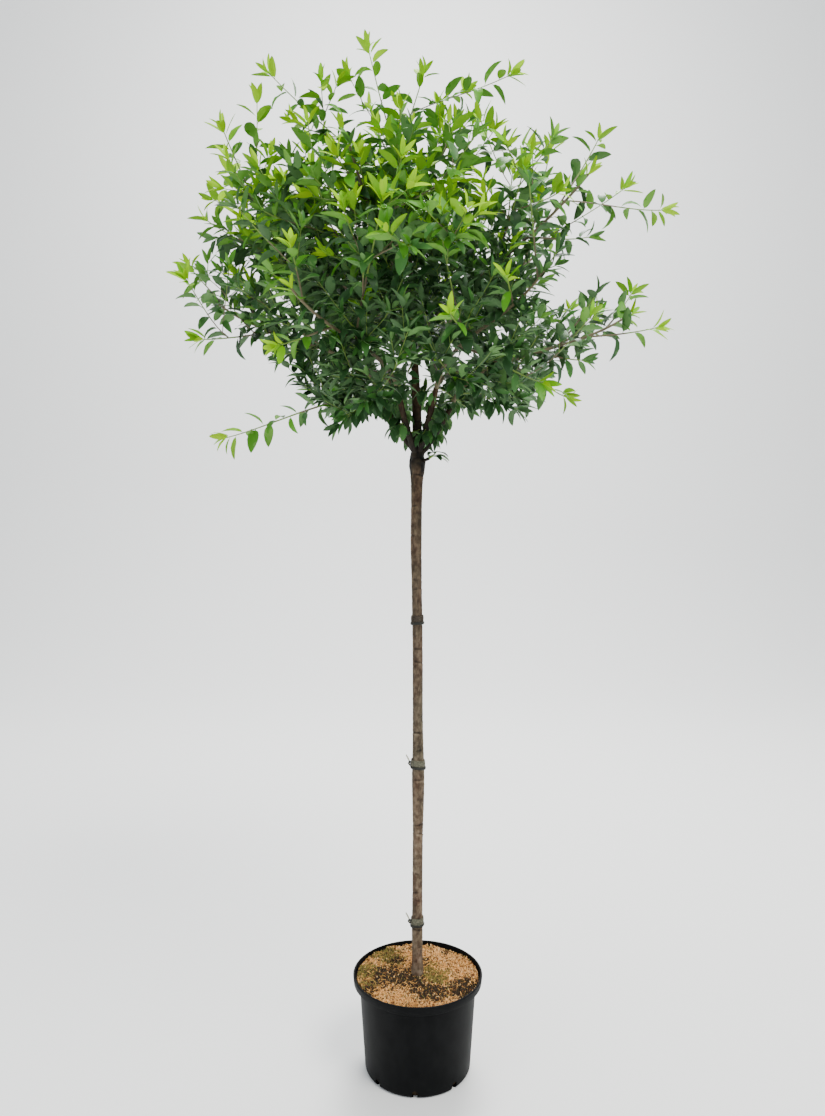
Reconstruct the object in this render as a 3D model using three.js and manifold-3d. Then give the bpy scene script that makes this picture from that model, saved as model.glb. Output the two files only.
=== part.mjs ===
// A standard tree with a loose round crown, in a nursery pot.
// Millimetres, +Z up. The origin is the centre of the pot's flat underside, on its axis.
// +X is to the right for someone who faces the tree from the front, and +Y is away from them.

import * as THREE from 'three';
import { mergeVertices } from 'three/addons/utils/BufferGeometryUtils.js';
import Module from 'manifold-3d';

const wasm = await Module();
wasm.setup();

// Fit of touching pieces
const SEAT_GAP = 0.3;

// Nursery pot, a moulded container of about twelve litres
const POT_HEIGHT = 220;
const RIM_DIAMETER = 300;
const NECK_DIAMETER = 273;
const BASE_DIAMETER = 245;
const POT_WALL = 2.6;
const POT_FLOOR = 3;
const RIM_DEPTH = 18;
const RIM_ROUNDING = 2;
const LIP_WIDTH = 4.5;
const BAND_DRAFT = 1.5;
const BASE_CORNER_STEPS = 2;
const BEAD_DROP = 26;
const BEAD_HEIGHT = 5;
const BEAD_PROUD = 1.8;
const BASE_ROUNDING = 9;
const POT_SIDES = 32;
const DRAIN_HOLES = 8;
const DRAIN_WIDTH = 15;
const DRAIN_HEIGHT = 20;
const DRAIN_CENTRE = 8;
const DRAIN_TURN = -93;
const DRAIN_SIDES = 6;

// Root ball with its mulch
const SOIL_TOP = 211;
const SOIL_RINGS = 4;
const MULCH_HEAVE = 4;
const FOOT_REST = 26;
// Waves of the mulch: how many radians per mm along X and Y, and the finer ones across them
const WAVE_X = 0.061;
const WAVE_Y = 0.053;
const FINE_WAVE_X = 0.11;
const FINE_WAVE_Y = 0.09;
const FINE_WAVE_SHARE = 0.6;

// Trunk and its leader
const KNUCKLE_Z = 1418;
const LEADER_TIP_Z = 1800;
const STEM_RADIUS = 11.7;
const ROOT_FLARE = 3.2;
const ROOT_FLARE_HEIGHT = 26;
const LEADER_RADIUS = 11.8;
const LEADER_TIP_RADIUS = 5.5;
const TRUNK_SIDES = 10;
const TRUNK_STEP = 37;
// Thicker and thinner stretches: where, how much more radius, and over what length
const SWELLINGS = [
  { z: 320, more: 0.7, spread: 45 },
  { z: 668, more: 2.7, spread: 75 },
  { z: 1230, more: 0.8, spread: 90 },
  { z: 1370, more: 1.5, spread: 60 },
  { z: 1396, more: 4.6, spread: 27 },
];
// Slight bends: where, how far sideways and backwards, and over what length
const BENDS = [
  { z: 330, x: -1.2, y: 1.5, spread: 130 },
  { z: 650, x: 0.9, y: -2, spread: 120 },
  { z: 1230, x: -3.6, y: 3, spread: 170 },
  { z: LEADER_TIP_Z, x: -14, y: 10, spread: 210 },
];

// Ties round the trunk
const TIE_HEIGHT = 17;
const TIE_THICKNESS = 2.2;
const TIE_ROLL = 2.6;
const TIE_EASE = 0.2;
const TIE_BEVEL = 1;
const KNOT_RADIUS = 5.2;
const KNOT_STRETCH = [1, 0.8, 1.25];
const KNOT_FORWARD = 2;
const LOOSE_END = 17;
const LOOSE_END_WIDTH = 3.4;
const LOOSE_END_THICKNESS = 1.8;
const LOOSE_END_LEAN = -24;
const TIES = [
  { name: 'tie_low', z: 340, tilt: 5, knot: true },
  { name: 'tie_middle', z: 710, tilt: -4, knot: true },
  { name: 'tie_high', z: 1043, tilt: 3, knot: false },
];

// Boughs: each leaves the knuckle in its own direction and ends where it enters its mass
const BOUGH_ROOT_RADIUS = 7.4;
const BOUGH_TIP_RADIUS = 5.8;
const BOUGH_SIDES = 7;
const BOUGH_STEPS = 3;
const BOUGH_RISE_LESS = 9;
const BOUGHS = [
  { name: 'bough_right', azimuth: 4, rise: 57, length: 150, root: 1412 },
  { name: 'bough_back_right', azimuth: 62, rise: 60, length: 160, root: 1420 },
  { name: 'bough_back_left', azimuth: 124, rise: 61, length: 155, root: 1414 },
  { name: 'bough_left', azimuth: 178, rise: 58, length: 165, root: 1422 },
  { name: 'bough_front_left', azimuth: 238, rise: 60, length: 150, root: 1412 },
  { name: 'bough_front_right', azimuth: 304, rise: 62, length: 158, root: 1419 },
];
const STUB = { name: 'bough_stub', azimuth: 335, rise: 14, length: 31, root: 1402 };
const STUB_RADIUS = 4.5;
const STUB_TIP_RADIUS = 3.15;

// The crown: its reach from the hub grows from the skirt's edge to the top
const HUB = new THREE.Vector3(0, 0, 1420);
const REACH_LEVEL = 450;
const REACH_RISE = 400;
const SKIRT_ANGLE = 17;
const SKIRT_SOFTNESS = 6;
// The shoulders in front and behind are lower than those at the sides
const SHOULDER_DROP = 0.14;
const SHOULDER_ANGLE = 35;
const SHOULDER_SOFTNESS = 30;
const SHOULDER_WIDTH = 1.6;
const CROWN_FLOOR = 1440;
// Three levels of masses, parted by two cones round the leader
const LOWER_CONE = { z: 1590, slope: 0.62 };
const UPPER_CONE = { z: 1775, slope: 1.35 };
const SPACE_GAP = 4;
const LIMB_GAP = 5;

// Twigs
const MASS_STEM_RADIUS = 5.2;
const MASS_STEM_TIP_RADIUS = 3;
const TWIG_RADIUS = 3.4;
const TWIG_TIP_RADIUS = 2.2;
const TWIG_SIDES = 3;
const STEM_SIDES = 4;
const TWIG_STEPS = 2;
const STEM_STEPS = 5;
const ARC_SAMPLES = 12;
const ARC_FIRST_SHARE = 0.3;
const ARC_SECOND_SHARE = 0.66;
const SHOOT_SAG = 0.07;
const UPPER_STEM_RISE = 48;
const FORK_TURN = 0.75;
const FORK_SHARE = 0.78;
const FORK_ROOM = 26;
const TURN_COST = 1.1;
const ASIDE_COST = 1.5;
const LEAST_TURN = 0.3;
const START_TRIES = 8;
const SHORTEST_TWIG = 90;
const LONGEST_TWIG = 520;

// Leaves, larger than life so that a few hundred stand for thousands
const LEAF_LENGTH = 125;
const LEAF_WIDTH_SHARE = 0.44;
const LEAF_THICKNESS = 3.2;
const LEAF_SINK = 0.6;
// Where a leaf is widest and where its ridge is highest, as shares of its length
const LEAF_WIDEST = 0.36;
const LEAF_RIDGE = 0.26;
const LEAF_SPACING = 34;
const LEAF_SEPARATION = 12;
const LEAF_TRIES = 3;
const LEAVES_PER_MASS = 34;
const LEAF_DROOP = 0.13;
const LEAF_OUTWARD = 1.1;
const LEAF_LIFT = 0.1;
const LEAF_ROLL = 0.9;
// How far a side leaf and an end leaf lean from their twig, and how much sizes differ
const SIDE_LEAN = 42;
const SIDE_LEAN_MORE = 24;
const END_LEAN = 0.12;
const SMALLEST_LEAF = 0.88;
const SIZE_SPREAD = 0.24;
// Shares of a shoot's length: its end leaf sits at its last bit, and its foot stays bare
const END_LEAF_BACK = 0.03;
const BARE_FOOT = 0.12;
// Places of a leaf where its space is tested: along its length, and across its half width
const LEAF_TEST_PLACES = [
  [0.18, 0], [0.36, 1], [0.36, -1], [0.36, 0], [0.55, 0.7],
  [0.55, -0.7], [0.68, 0], [0.8, 0.3], [0.8, -0.3], [1, 0],
];
// A clean join adds few triangles: more of them mean that the piece crosses another
const LEAF_JOIN = 26;
const END_LEAF_JOIN = 44;
const TWIG_JOIN = 48;
const LEAST_EDGE = 0.005;

// Masses: each has its level and its wedge, then the azimuth, elevation and reach of its
// stem's tip from the hub, where an upper stem leaves the leader, and the seed of its twigs
const MASSES = [
  { name: 'foliage_low_right', level: 'lower', azimuth: 0, width: 60,
    tip: [-4, 33, 690], seed: 11 },
  { name: 'foliage_low_back_right', level: 'lower', azimuth: 60, width: 60,
    tip: [58, 34, 640], seed: 12 },
  { name: 'foliage_low_back_left', level: 'lower', azimuth: 120, width: 60,
    tip: [122, 35, 650], seed: 13 },
  { name: 'foliage_low_left', level: 'lower', azimuth: 180, width: 60,
    tip: [176, 37, 700], seed: 14 },
  { name: 'foliage_low_front_left', level: 'lower', azimuth: 240, width: 60,
    tip: [236, 33, 630], seed: 15 },
  { name: 'foliage_low_front_right', level: 'lower', azimuth: 300, width: 60,
    tip: [302, 35, 650], seed: 16 },
  { name: 'foliage_high_right_back', level: 'upper', azimuth: 36, width: 72,
    tip: [30, 55, 800], start: 1645, seed: 17 },
  { name: 'foliage_high_back', level: 'upper', azimuth: 108, width: 72,
    tip: [106, 57, 790], start: 1690, seed: 18 },
  { name: 'foliage_high_left', level: 'upper', azimuth: 180, width: 72,
    tip: [182, 56, 830], start: 1655, seed: 19 },
  { name: 'foliage_high_front', level: 'upper', azimuth: 252, width: 72,
    tip: [250, 55, 780], start: 1700, seed: 20 },
  { name: 'foliage_high_right_front', level: 'upper', azimuth: 324, width: 72,
    tip: [330, 54, 800], start: 1665, seed: 21 },
  { name: 'foliage_top', level: 'top', azimuth: 0, width: 360,
    tip: [140, 84, 870], seed: 22 },
];
const TWIGS_PER_MASS = 8;
const MOST_TIP_TRIES = 200;
// Elevations from the hub between which each level's tips lie
const TIP_ELEVATIONS = { lower: [16, 44], upper: [40, 66], top: [60, 88] };
const NEAREST_TIP_SHARE = 0.72;
// Steps of an even spread in three directions, and how much each seed shifts them
const SPREAD_STEPS = [0.7548776662, 0.5698402909, 0.3819660113];
const SEED_SHIFTS = [0.13, 0.29, 0.41];
// The long shoots that stand out of the crown: azimuth, elevation and reach from the hub
const LONG_SHOOTS = [
  [176, 5, 470], [186, 27, 565], [171, 39.5, 727], [196, 35, 640],
  [168, 56, 830], [196, 57.5, 818], [182, 68.5, 920], [158, 82.5, 950],
  [20, 89, 865], [20, 82, 855], [340, 75, 850], [14, 66, 800], [350, 59.5, 830],
  [2, 52, 805], [356, 44.5, 801], [10, 37, 690], [352, 27, 635],
  [8, 21, 420], [262, 41, 700], [88, 43, 720], [300, 52, 720],
  [70, 60, 830], [228, 24, 520], [318, 20, 430], [118, 22, 500],
];

// The small sprout below the fork keeps to a ball of its own
const SPROUT = { name: 'foliage_sprout', x: 52, y: -26, z: 1424, radius: 50 };
const SPROUT_STEM = new THREE.Vector3(18, -9, 16);
const SPROUT_LEAF_LENGTH = 42;
const SPROUT_LEAVES = 7;
const SPROUT_STEM_SHARE = 0.6;
const SPROUT_BARE_FOOT = 0.3;
const SPROUT_LEAF_STRETCH = 0.66;
const SPROUT_LEAN = 55;
const SPROUT_GAP = 1.5;
const GOLDEN_ANGLE = 137.5;

const degrees = THREE.MathUtils.degToRad;
const UP = new THREE.Vector3(0, 0, 1);
const FRONT = new THREE.Vector3(0, -1, 0);

// Materials

const plain = (colour, roughness, metalness = 0) => new THREE.MeshStandardMaterial({
  color: colour, roughness, metalness,
});

const finishes = {
  pot: () => plain(0x222427, 0.5),
  mulch: () => plain(0x8a6d40, 0.95),
  bark: () => plain(0x74685a, 0.8),
  tie: () => plain(0x4f564c, 0.7),
  leaf: () => plain(0x4f8a2c, 0.5),
};

// Solids

function toSolid(geometry) {
  geometry.deleteAttribute('normal');
  geometry.deleteAttribute('uv');
  const merged = mergeVertices(geometry, 1e-4);
  return new wasm.Manifold(new wasm.Mesh({
    numProp: 3,
    vertProperties: Float32Array.from(merged.attributes.position.array),
    triVerts: Uint32Array.from(merged.index.array),
  }));
}

function toGeometry(solid) {
  const mesh = solid.getMesh();
  const geometry = new THREE.BufferGeometry();
  geometry.setAttribute('position', new THREE.BufferAttribute(Float32Array.from(mesh.vertProperties), 3));
  geometry.setIndex(new THREE.BufferAttribute(Uint32Array.from(mesh.triVerts), 1));
  return geometry;
}

// The largest closed surface of a solid: loose scraps and sealed hollows are left behind
function mainBody(solid) {
  const bodies = solid.decompose();
  return bodies.reduce((best, body) => (body.volume() > best.volume() ? body : best));
}

// True where every two corners of a solid are apart by more than the least edge
function cornersApart(solid) {
  const corners = solid.getMesh().vertProperties;
  const order = Array.from({ length: corners.length / 3 }, (_, i) => 3 * i);
  order.sort((a, b) => corners[a] - corners[b]);
  return order.every((a, place) => {
    for (let next = place + 1; next < order.length; next += 1) {
      const b = order[next];
      const dx = corners[b] - corners[a];
      if (dx > LEAST_EDGE) return true;
      if (Math.hypot(dx, corners[b + 1] - corners[a + 1], corners[b + 2] - corners[a + 2]) < LEAST_EDGE) {
        return false;
      }
    }
    return true;
  });
}

// A solid that grows by clean joins only
function grower(first) {
  let whole = first;
  return {
    join(piece, most) {
      const joined = whole.add(piece);
      if (joined.numTri() - whole.numTri() > most || !cornersApart(joined)) return false;
      whole = joined;
      return true;
    },
    result: () => mainBody(whole),
  };
}

// Directions

function direction(azimuth, elevation) {
  const a = degrees(azimuth);
  const e = degrees(elevation);
  return new THREE.Vector3(Math.cos(e) * Math.cos(a), Math.cos(e) * Math.sin(a), Math.sin(e));
}

// A limb is a row of rings along a curve, each with its centre, its way on, two ways across
// and its radius. Between rings it runs straight, so what grows on it starts on that line.

const taper = (from, to) => (t) => from + (to - from) * t;

function makeLimb(curve, radiusAt, sides, steps) {
  const start = curve.getTangent(0);
  let across = new THREE.Vector3().crossVectors(start, Math.abs(start.z) < 0.9 ? UP : FRONT).normalize();
  const rings = curve.getPoints(steps).map((centre, i) => {
    const way = curve.getTangent(i / steps);
    across = across.clone().projectOnPlane(way).normalize();
    const over = new THREE.Vector3().crossVectors(way, across);
    return { centre, way, across, over, radius: radiusAt(i / steps) };
  });
  const gaps = rings.slice(1).map((ring, i) => ring.centre.distanceTo(rings[i].centre));
  const length = gaps.reduce((sum, gap) => sum + gap, 0);
  return { rings, sides, length };
}

function limbSolid({ rings, sides }) {
  const steps = rings.length - 1;
  const tube = new THREE.CylinderGeometry(1, 1, 1, sides, steps);
  const places = tube.attributes.position;
  for (let i = 0; i < places.count; i += 1) {
    const ring = rings[Math.round((places.getY(i) + 0.5) * steps)];
    const place = ring.centre.clone()
      .addScaledVector(ring.across, places.getX(i) * ring.radius)
      .addScaledVector(ring.over, -places.getZ(i) * ring.radius);
    places.setXYZ(i, place.x, place.y, place.z);
  }
  return toSolid(tube);
}

// Centre, way on and radius of a limb at a share of its length
function alongLimb({ rings }, share) {
  const last = rings.length - 2;
  const i = Math.min(Math.floor(share * (last + 1)), last);
  const rest = share * (last + 1) - i;
  return {
    point: rings[i].centre.clone().lerp(rings[i + 1].centre, rest),
    way: rings[i + 1].centre.clone().sub(rings[i].centre).normalize(),
    radius: rings[i].radius + (rings[i + 1].radius - rings[i].radius) * rest,
    ring: rings[Math.round(share * (last + 1))],
  };
}

// Trunk

const bump = (z, centre, spread) => Math.exp(-(((z - centre) / spread) ** 2));

function trunkCentre(z) {
  const centre = new THREE.Vector3(0, 0, z);
  BENDS.forEach((bend) => {
    centre.x += bend.x * bump(z, bend.z, bend.spread);
    centre.y += bend.y * bump(z, bend.z, bend.spread);
  });
  return centre;
}

function trunkRadius(z) {
  const above = THREE.MathUtils.clamp((z - KNUCKLE_Z) / (LEADER_TIP_Z - KNUCKLE_Z), 0, 1);
  const shaft = z < KNUCKLE_Z ? STEM_RADIUS : LEADER_RADIUS + (LEADER_TIP_RADIUS - LEADER_RADIUS) * above;
  const flare = ROOT_FLARE * Math.exp(-(z - SOIL_TOP) / ROOT_FLARE_HEIGHT);
  const swell = SWELLINGS.reduce((sum, place) => sum + place.more * bump(z, place.z, place.spread), 0);
  return shaft + flare + swell;
}

// The knuckle is lumpy, as an old union is
function knuckleLumps(z, angle) {
  return 1 + bump(z, KNUCKLE_Z, 30) * (0.09 * Math.sin(3 * angle + 0.6) + 0.06 * Math.sin(5 * angle));
}

function trunkSolid(extra = 0) {
  const foot = SOIL_TOP + SEAT_GAP;
  const steps = Math.round((LEADER_TIP_Z - foot) / TRUNK_STEP);
  const tube = new THREE.CylinderGeometry(1, 1, 1, TRUNK_SIDES, steps);
  const places = tube.attributes.position;
  for (let i = 0; i < places.count; i += 1) {
    const t = places.getY(i) + 0.5;
    const z = foot - extra + (LEADER_TIP_Z - foot + 2 * extra) * t;
    const out = Math.hypot(places.getX(i), places.getZ(i));
    const angle = Math.atan2(-places.getZ(i), places.getX(i));
    const radius = out * (trunkRadius(z) * knuckleLumps(z, angle) + extra);
    const centre = trunkCentre(z);
    places.setXYZ(i, centre.x + radius * Math.cos(angle), centre.y + radius * Math.sin(angle), z);
  }
  return toSolid(tube);
}

// Boughs

function boughPath(bough) {
  const root = trunkCentre(bough.root);
  const out = direction(bough.azimuth, bough.rise);
  const lower = direction(bough.azimuth, bough.rise - BOUGH_RISE_LESS);
  const bend = root.clone().addScaledVector(lower, bough.length / 2);
  return new THREE.QuadraticBezierCurve3(root, bend, root.clone().addScaledVector(out, bough.length));
}

function boughSolid(bough, rootRadius, tipRadius, extra = 0) {
  const radiusAt = taper(rootRadius + extra, tipRadius + extra);
  return limbSolid(makeLimb(boughPath(bough), radiusAt, BOUGH_SIDES, BOUGH_STEPS));
}

// Spaces: which points of the crown a mass may use

function crownReach(elevation, azimuth) {
  const skirt = 1 / (1 + Math.exp(-(elevation - SKIRT_ANGLE) / SKIRT_SOFTNESS));
  const high = THREE.MathUtils.clamp((elevation - SHOULDER_ANGLE) / SHOULDER_SOFTNESS, 0, 1);
  const deep = Math.min(1, SHOULDER_WIDTH * Math.sin(degrees(azimuth)) ** 2);
  const even = REACH_LEVEL + REACH_RISE * Math.sin(degrees(Math.max(elevation, 0)));
  return even * skirt * (1 - SHOULDER_DROP * high * deep);
}

function inLevel(point, level) {
  const out = Math.hypot(point.x, point.y);
  const lower = point.z - LOWER_CONE.z - LOWER_CONE.slope * out;
  const upper = point.z - UPPER_CONE.z - UPPER_CONE.slope * out;
  if (level === 'lower') return lower < -SPACE_GAP;
  if (level === 'upper') return lower > SPACE_GAP && upper < -SPACE_GAP;
  return upper > SPACE_GAP;
}

function inWedge(point, azimuth, width) {
  if (width === 360) return true;
  const turn = Math.atan2(point.y, point.x) - degrees(azimuth);
  const off = Math.abs(Math.atan2(Math.sin(turn), Math.cos(turn)));
  const room = degrees(width / 2) - off;
  return room > 0 && Math.hypot(point.x, point.y) * Math.sin(room) > SPACE_GAP;
}

function inSproutBall(point, gap) {
  return Math.hypot(point.x - SPROUT.x, point.y - SPROUT.y, point.z - SPROUT.z) < SPROUT.radius + gap;
}

// Limbs that foliage keeps clear of, as short straight stretches with a radius
function limbStretches() {
  const stretches = [];
  const addPath = (points, radii) => {
    for (let i = 1; i < points.length; i += 1) {
      const radius = Math.max(radii[i - 1], radii[i]);
      stretches.push({ line: new THREE.Line3(points[i - 1], points[i]), radius });
    }
  };
  const heights = [];
  for (let z = SOIL_TOP; z < LEADER_TIP_Z; z += TRUNK_STEP) heights.push(z);
  heights.push(LEADER_TIP_Z);
  addPath(heights.map(trunkCentre), heights.map(trunkRadius));
  BOUGHS.forEach((bough) => {
    const points = boughPath(bough).getPoints(BOUGH_STEPS);
    addPath(points, points.map(() => BOUGH_ROOT_RADIUS));
  });
  const stub = boughPath(STUB).getPoints(2);
  addPath(stub, stub.map(() => STUB_RADIUS));
  return stretches;
}

const LIMBS = limbStretches();
const nearest = new THREE.Vector3();

function clearOfLimbs(point, gap) {
  return LIMBS.every(({ line, radius }) => {
    line.closestPointToPoint(point, true, nearest);
    return nearest.distanceTo(point) > radius + gap;
  });
}

function inSpace(point, mass) {
  return point.z > CROWN_FLOOR && inLevel(point, mass.level)
    && inWedge(point, mass.azimuth, mass.width) && !inSproutBall(point, SPACE_GAP);
}

// Random numbers that come out the same on every run

function randomStream(seed) {
  let state = seed * 7919;
  return () => {
    state = (state * 48271) % 2147483647;
    return state / 2147483647;
  };
}

// Leaves

// A leaf is an octahedron drawn out into a pointed blade with a ridge above and below
function leafGeometry(leaf) {
  const blade = new THREE.OctahedronGeometry(1);
  const places = blade.attributes.position;
  const half = leaf.length * LEAF_WIDTH_SHARE / 2;
  for (let i = 0; i < places.count; i += 1) {
    const x = places.getX(i);
    const y = places.getY(i);
    const z = places.getZ(i);
    let along = LEAF_WIDEST * leaf.length;
    let drop = 0;
    if (x > 0.5) {
      along = leaf.length;
      drop = LEAF_DROOP * leaf.length;
    } else if (x < -0.5) {
      along = -LEAF_SINK;
    } else if (Math.abs(z) > 0.5) {
      along = LEAF_RIDGE * leaf.length;
    }
    const place = leaf.base.clone()
      .addScaledVector(leaf.along, along)
      .addScaledVector(leaf.across, y * half)
      .addScaledVector(leaf.normal, z * LEAF_THICKNESS / 2 - drop);
    places.setXYZ(i, place.x, place.y, place.z);
  }
  return blade;
}

function leafSamples(leaf) {
  const half = leaf.length * LEAF_WIDTH_SHARE / 2;
  return LEAF_TEST_PLACES.map(([along, side]) => {
    const droop = LEAF_DROOP * Math.max(0, along - LEAF_WIDEST) / (1 - LEAF_WIDEST);
    return leaf.base.clone()
      .addScaledVector(leaf.along, along * leaf.length)
      .addScaledVector(leaf.across, side * half)
      .addScaledVector(leaf.normal, -droop * leaf.length);
  });
}

// A leaf turns its face up and out, to the light
function makeLeaf(base, twigWay, side, lean, length, roll) {
  const along = twigWay.clone().multiplyScalar(Math.cos(lean)).addScaledVector(side, Math.sin(lean));
  along.addScaledVector(UP, LEAF_LIFT).normalize();
  const light = new THREE.Vector3(base.x, base.y, 0).normalize().multiplyScalar(LEAF_OUTWARD).add(UP);
  const normal = light.normalize().projectOnPlane(along);
  if (normal.length() < 0.3) normal.copy(side).negate().projectOnPlane(along);
  normal.normalize().applyAxisAngle(along, roll);
  const across = new THREE.Vector3().crossVectors(normal, along).normalize();
  return { base, along, across, normal, length };
}

// Twigs

// The way in which a new shoot leaves its parent: forward, and turned towards its tip
function forkWay(node, tip) {
  const side = tip.clone().sub(node.point).projectOnPlane(node.way).normalize();
  return node.way.clone().multiplyScalar(Math.cos(FORK_TURN)).addScaledVector(side, Math.sin(FORK_TURN));
}

// A shoot leaves in its first way, then bends and rises to its tip
function arc(from, way, to) {
  const span = from.distanceTo(to);
  const first = from.clone().addScaledVector(way, span * ARC_FIRST_SHARE);
  const second = from.clone().lerp(to, ARC_SECOND_SHARE);
  second.z -= span * SHOOT_SAG;
  return new THREE.CubicBezierCurve3(from, first, second, to);
}

function shootFits(limb, mass) {
  for (let i = 1; i <= ARC_SAMPLES; i += 1) {
    const { point } = alongLimb(limb, i / ARC_SAMPLES);
    if (!inSpace(point, mass) || !clearOfLimbs(point, LIMB_GAP)) return false;
  }
  return true;
}

// The growing rule: a shoot starts from the grown limb that reaches its tip with the least
// length and the least turn, and as straight away from the hub as it can. It bends up to its
// tip, and carries leaves on its faces in turn.

function bestStarts(grown, tip) {
  const starts = [];
  grown.forEach((node) => {
    const away = tip.clone().sub(node.point);
    const span = away.length();
    const turn = away.dot(node.way) / span;
    const inside = node.point.distanceTo(HUB) < tip.distanceTo(HUB) - SHORTEST_TWIG / 2;
    if (!inside || node.forked || turn < LEAST_TURN) return;
    if (span < SHORTEST_TWIG || span > LONGEST_TWIG) return;
    const outward = away.dot(tip.clone().sub(HUB)) / (span * tip.distanceTo(HUB));
    starts.push({ node, cost: span * (1 + TURN_COST * (1 - turn) + ASIDE_COST * (1 - outward)) });
  });
  return starts.sort((a, b) => a.cost - b.cost).slice(0, START_TRIES).map((start) => start.node);
}

function addNodes(grown, limb) {
  for (let i = 1; i < ARC_SAMPLES; i += 1) {
    grown.push({ ...alongLimb(limb, i / ARC_SAMPLES), forked: false });
  }
}

const farFrom = (points, others, gap) => (
  points.every((point) => others.every((other) => point.distanceTo(other) > gap)));

// Leaves follow each other from face to face of the twig, so that each root goes into one face
function leafOn(limb, share, face, random) {
  const { point, way, ring } = alongLimb(limb, share);
  const angle = (2 * Math.PI * (face + 0.5)) / limb.sides;
  const side = ring.across.clone().multiplyScalar(Math.sin(angle))
    .addScaledVector(ring.over, -Math.cos(angle)).projectOnPlane(way).normalize();
  const atEnd = share >= 1 - END_LEAF_BACK;
  const lean = atEnd ? END_LEAN : degrees(SIDE_LEAN + SIDE_LEAN_MORE * random());
  const size = LEAF_LENGTH * (SMALLEST_LEAF + SIZE_SPREAD * random());
  return makeLeaf(point, way, side, lean, size, (random() - 0.5) * LEAF_ROLL);
}

// Every shoot gets its end leaf first, then its next one down, until the mass has enough
function addLeaves(limbs, mass, random, body) {
  const taken = [];
  const turns = limbs.map((limb) => Math.floor(random() * limb.sides));
  const most = Math.max(...limbs.map((limb) => limb.length)) / LEAF_SPACING;
  for (let i = 0; i < most; i += 1) {
    limbs.forEach((limb, which) => {
      const share = 1 - (i === 0 ? END_LEAF_BACK : (i * LEAF_SPACING) / limb.length);
      if (share < BARE_FOOT) return;
      for (let tries = 0; tries < LEAF_TRIES && taken.length < LEAVES_PER_MASS; tries += 1) {
        const leaf = leafOn(limb, share, turns[which] + i + tries, random);
        const samples = leafSamples(leaf);
        const outer = samples.slice(1);
        if (samples.every((point) => inSpace(point, mass) && clearOfLimbs(point, LIMB_GAP))
          && taken.every((other) => farFrom(outer, other, LEAF_SEPARATION))
          && body.join(toSolid(leafGeometry(leaf)), i === 0 ? END_LEAF_JOIN : LEAF_JOIN)) {
          taken.push(outer);
          return;
        }
      }
    });
  }
}

// Tips that a mass's twigs grow to, spread evenly through its space
function twigTips(mass) {
  const tips = [];
  const [low, high] = TIP_ELEVATIONS[mass.level];
  for (let i = 1; tips.length < TWIGS_PER_MASS && i < MOST_TIP_TRIES; i += 1) {
    const [u, v, w] = SPREAD_STEPS.map((step, k) => (i * step + mass.seed * SEED_SHIFTS[k]) % 1);
    const elevation = low + (high - low) * v;
    const share = NEAREST_TIP_SHARE + (1 - NEAREST_TIP_SHARE) * w;
    const azimuth = mass.azimuth + (u - 0.5) * mass.width;
    const reach = crownReach(elevation, azimuth) * share - LEAF_LENGTH / 2;
    const tip = HUB.clone().addScaledVector(direction(azimuth, elevation), reach);
    if (inSpace(tip, mass)) tips.push(tip);
  }
  return tips.sort((a, b) => a.distanceTo(HUB) - b.distanceTo(HUB));
}

function longTips(mass) {
  const tips = LONG_SHOOTS.map(([azimuth, elevation, reach]) => (
    HUB.clone().addScaledVector(direction(azimuth, elevation), reach - LEAF_LENGTH * 0.95)));
  return tips.filter((tip) => inSpace(tip, mass));
}

function stemPath(mass) {
  const [azimuth, elevation, reach] = mass.tip;
  const tip = HUB.clone().addScaledVector(direction(azimuth, elevation), reach - LEAF_LENGTH);
  if (mass.level === 'lower') {
    const bough = BOUGHS.find((one) => one.name.slice(6) === mass.name.slice(12));
    const path = boughPath(bough);
    const way = path.getTangent(1);
    return arc(path.getPoint(1).addScaledVector(way, SEAT_GAP), way, tip);
  }
  if (mass.level === 'upper') {
    return arc(trunkCentre(mass.start), direction(mass.azimuth, UPPER_STEM_RISE), tip);
  }
  const leaderTip = trunkCentre(LEADER_TIP_Z);
  leaderTip.z += SEAT_GAP;
  return arc(leaderTip, UP, tip);
}

function growMass(mass) {
  const random = randomStream(mass.seed);
  const stemRadius = taper(MASS_STEM_RADIUS, MASS_STEM_TIP_RADIUS);
  const stem = makeLimb(stemPath(mass), stemRadius, STEM_SIDES, STEM_STEPS);
  const body = grower(limbSolid(stem));
  const limbs = [stem];
  const grown = [];
  addNodes(grown, stem);
  [...longTips(mass), ...twigTips(mass)].forEach((tip) => {
    bestStarts(grown, tip).some((start) => {
      const radiusAt = taper(Math.min(TWIG_RADIUS, start.radius * FORK_SHARE), TWIG_TIP_RADIUS);
      const path = arc(start.point, forkWay(start, tip), tip);
      const twig = makeLimb(path, radiusAt, TWIG_SIDES, TWIG_STEPS);
      if (!shootFits(twig, mass) || !body.join(limbSolid(twig), TWIG_JOIN)) return false;
      grown.filter((node) => node.point.distanceTo(start.point) < FORK_ROOM)
        .forEach((node) => { node.forked = true; });
      limbs.push(twig);
      addNodes(grown, twig);
      return true;
    });
  });
  addLeaves(limbs, mass, random, body);
  return body.result();
}

// The sprout's few leaves fan out from a short stem that goes on from the stub

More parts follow.
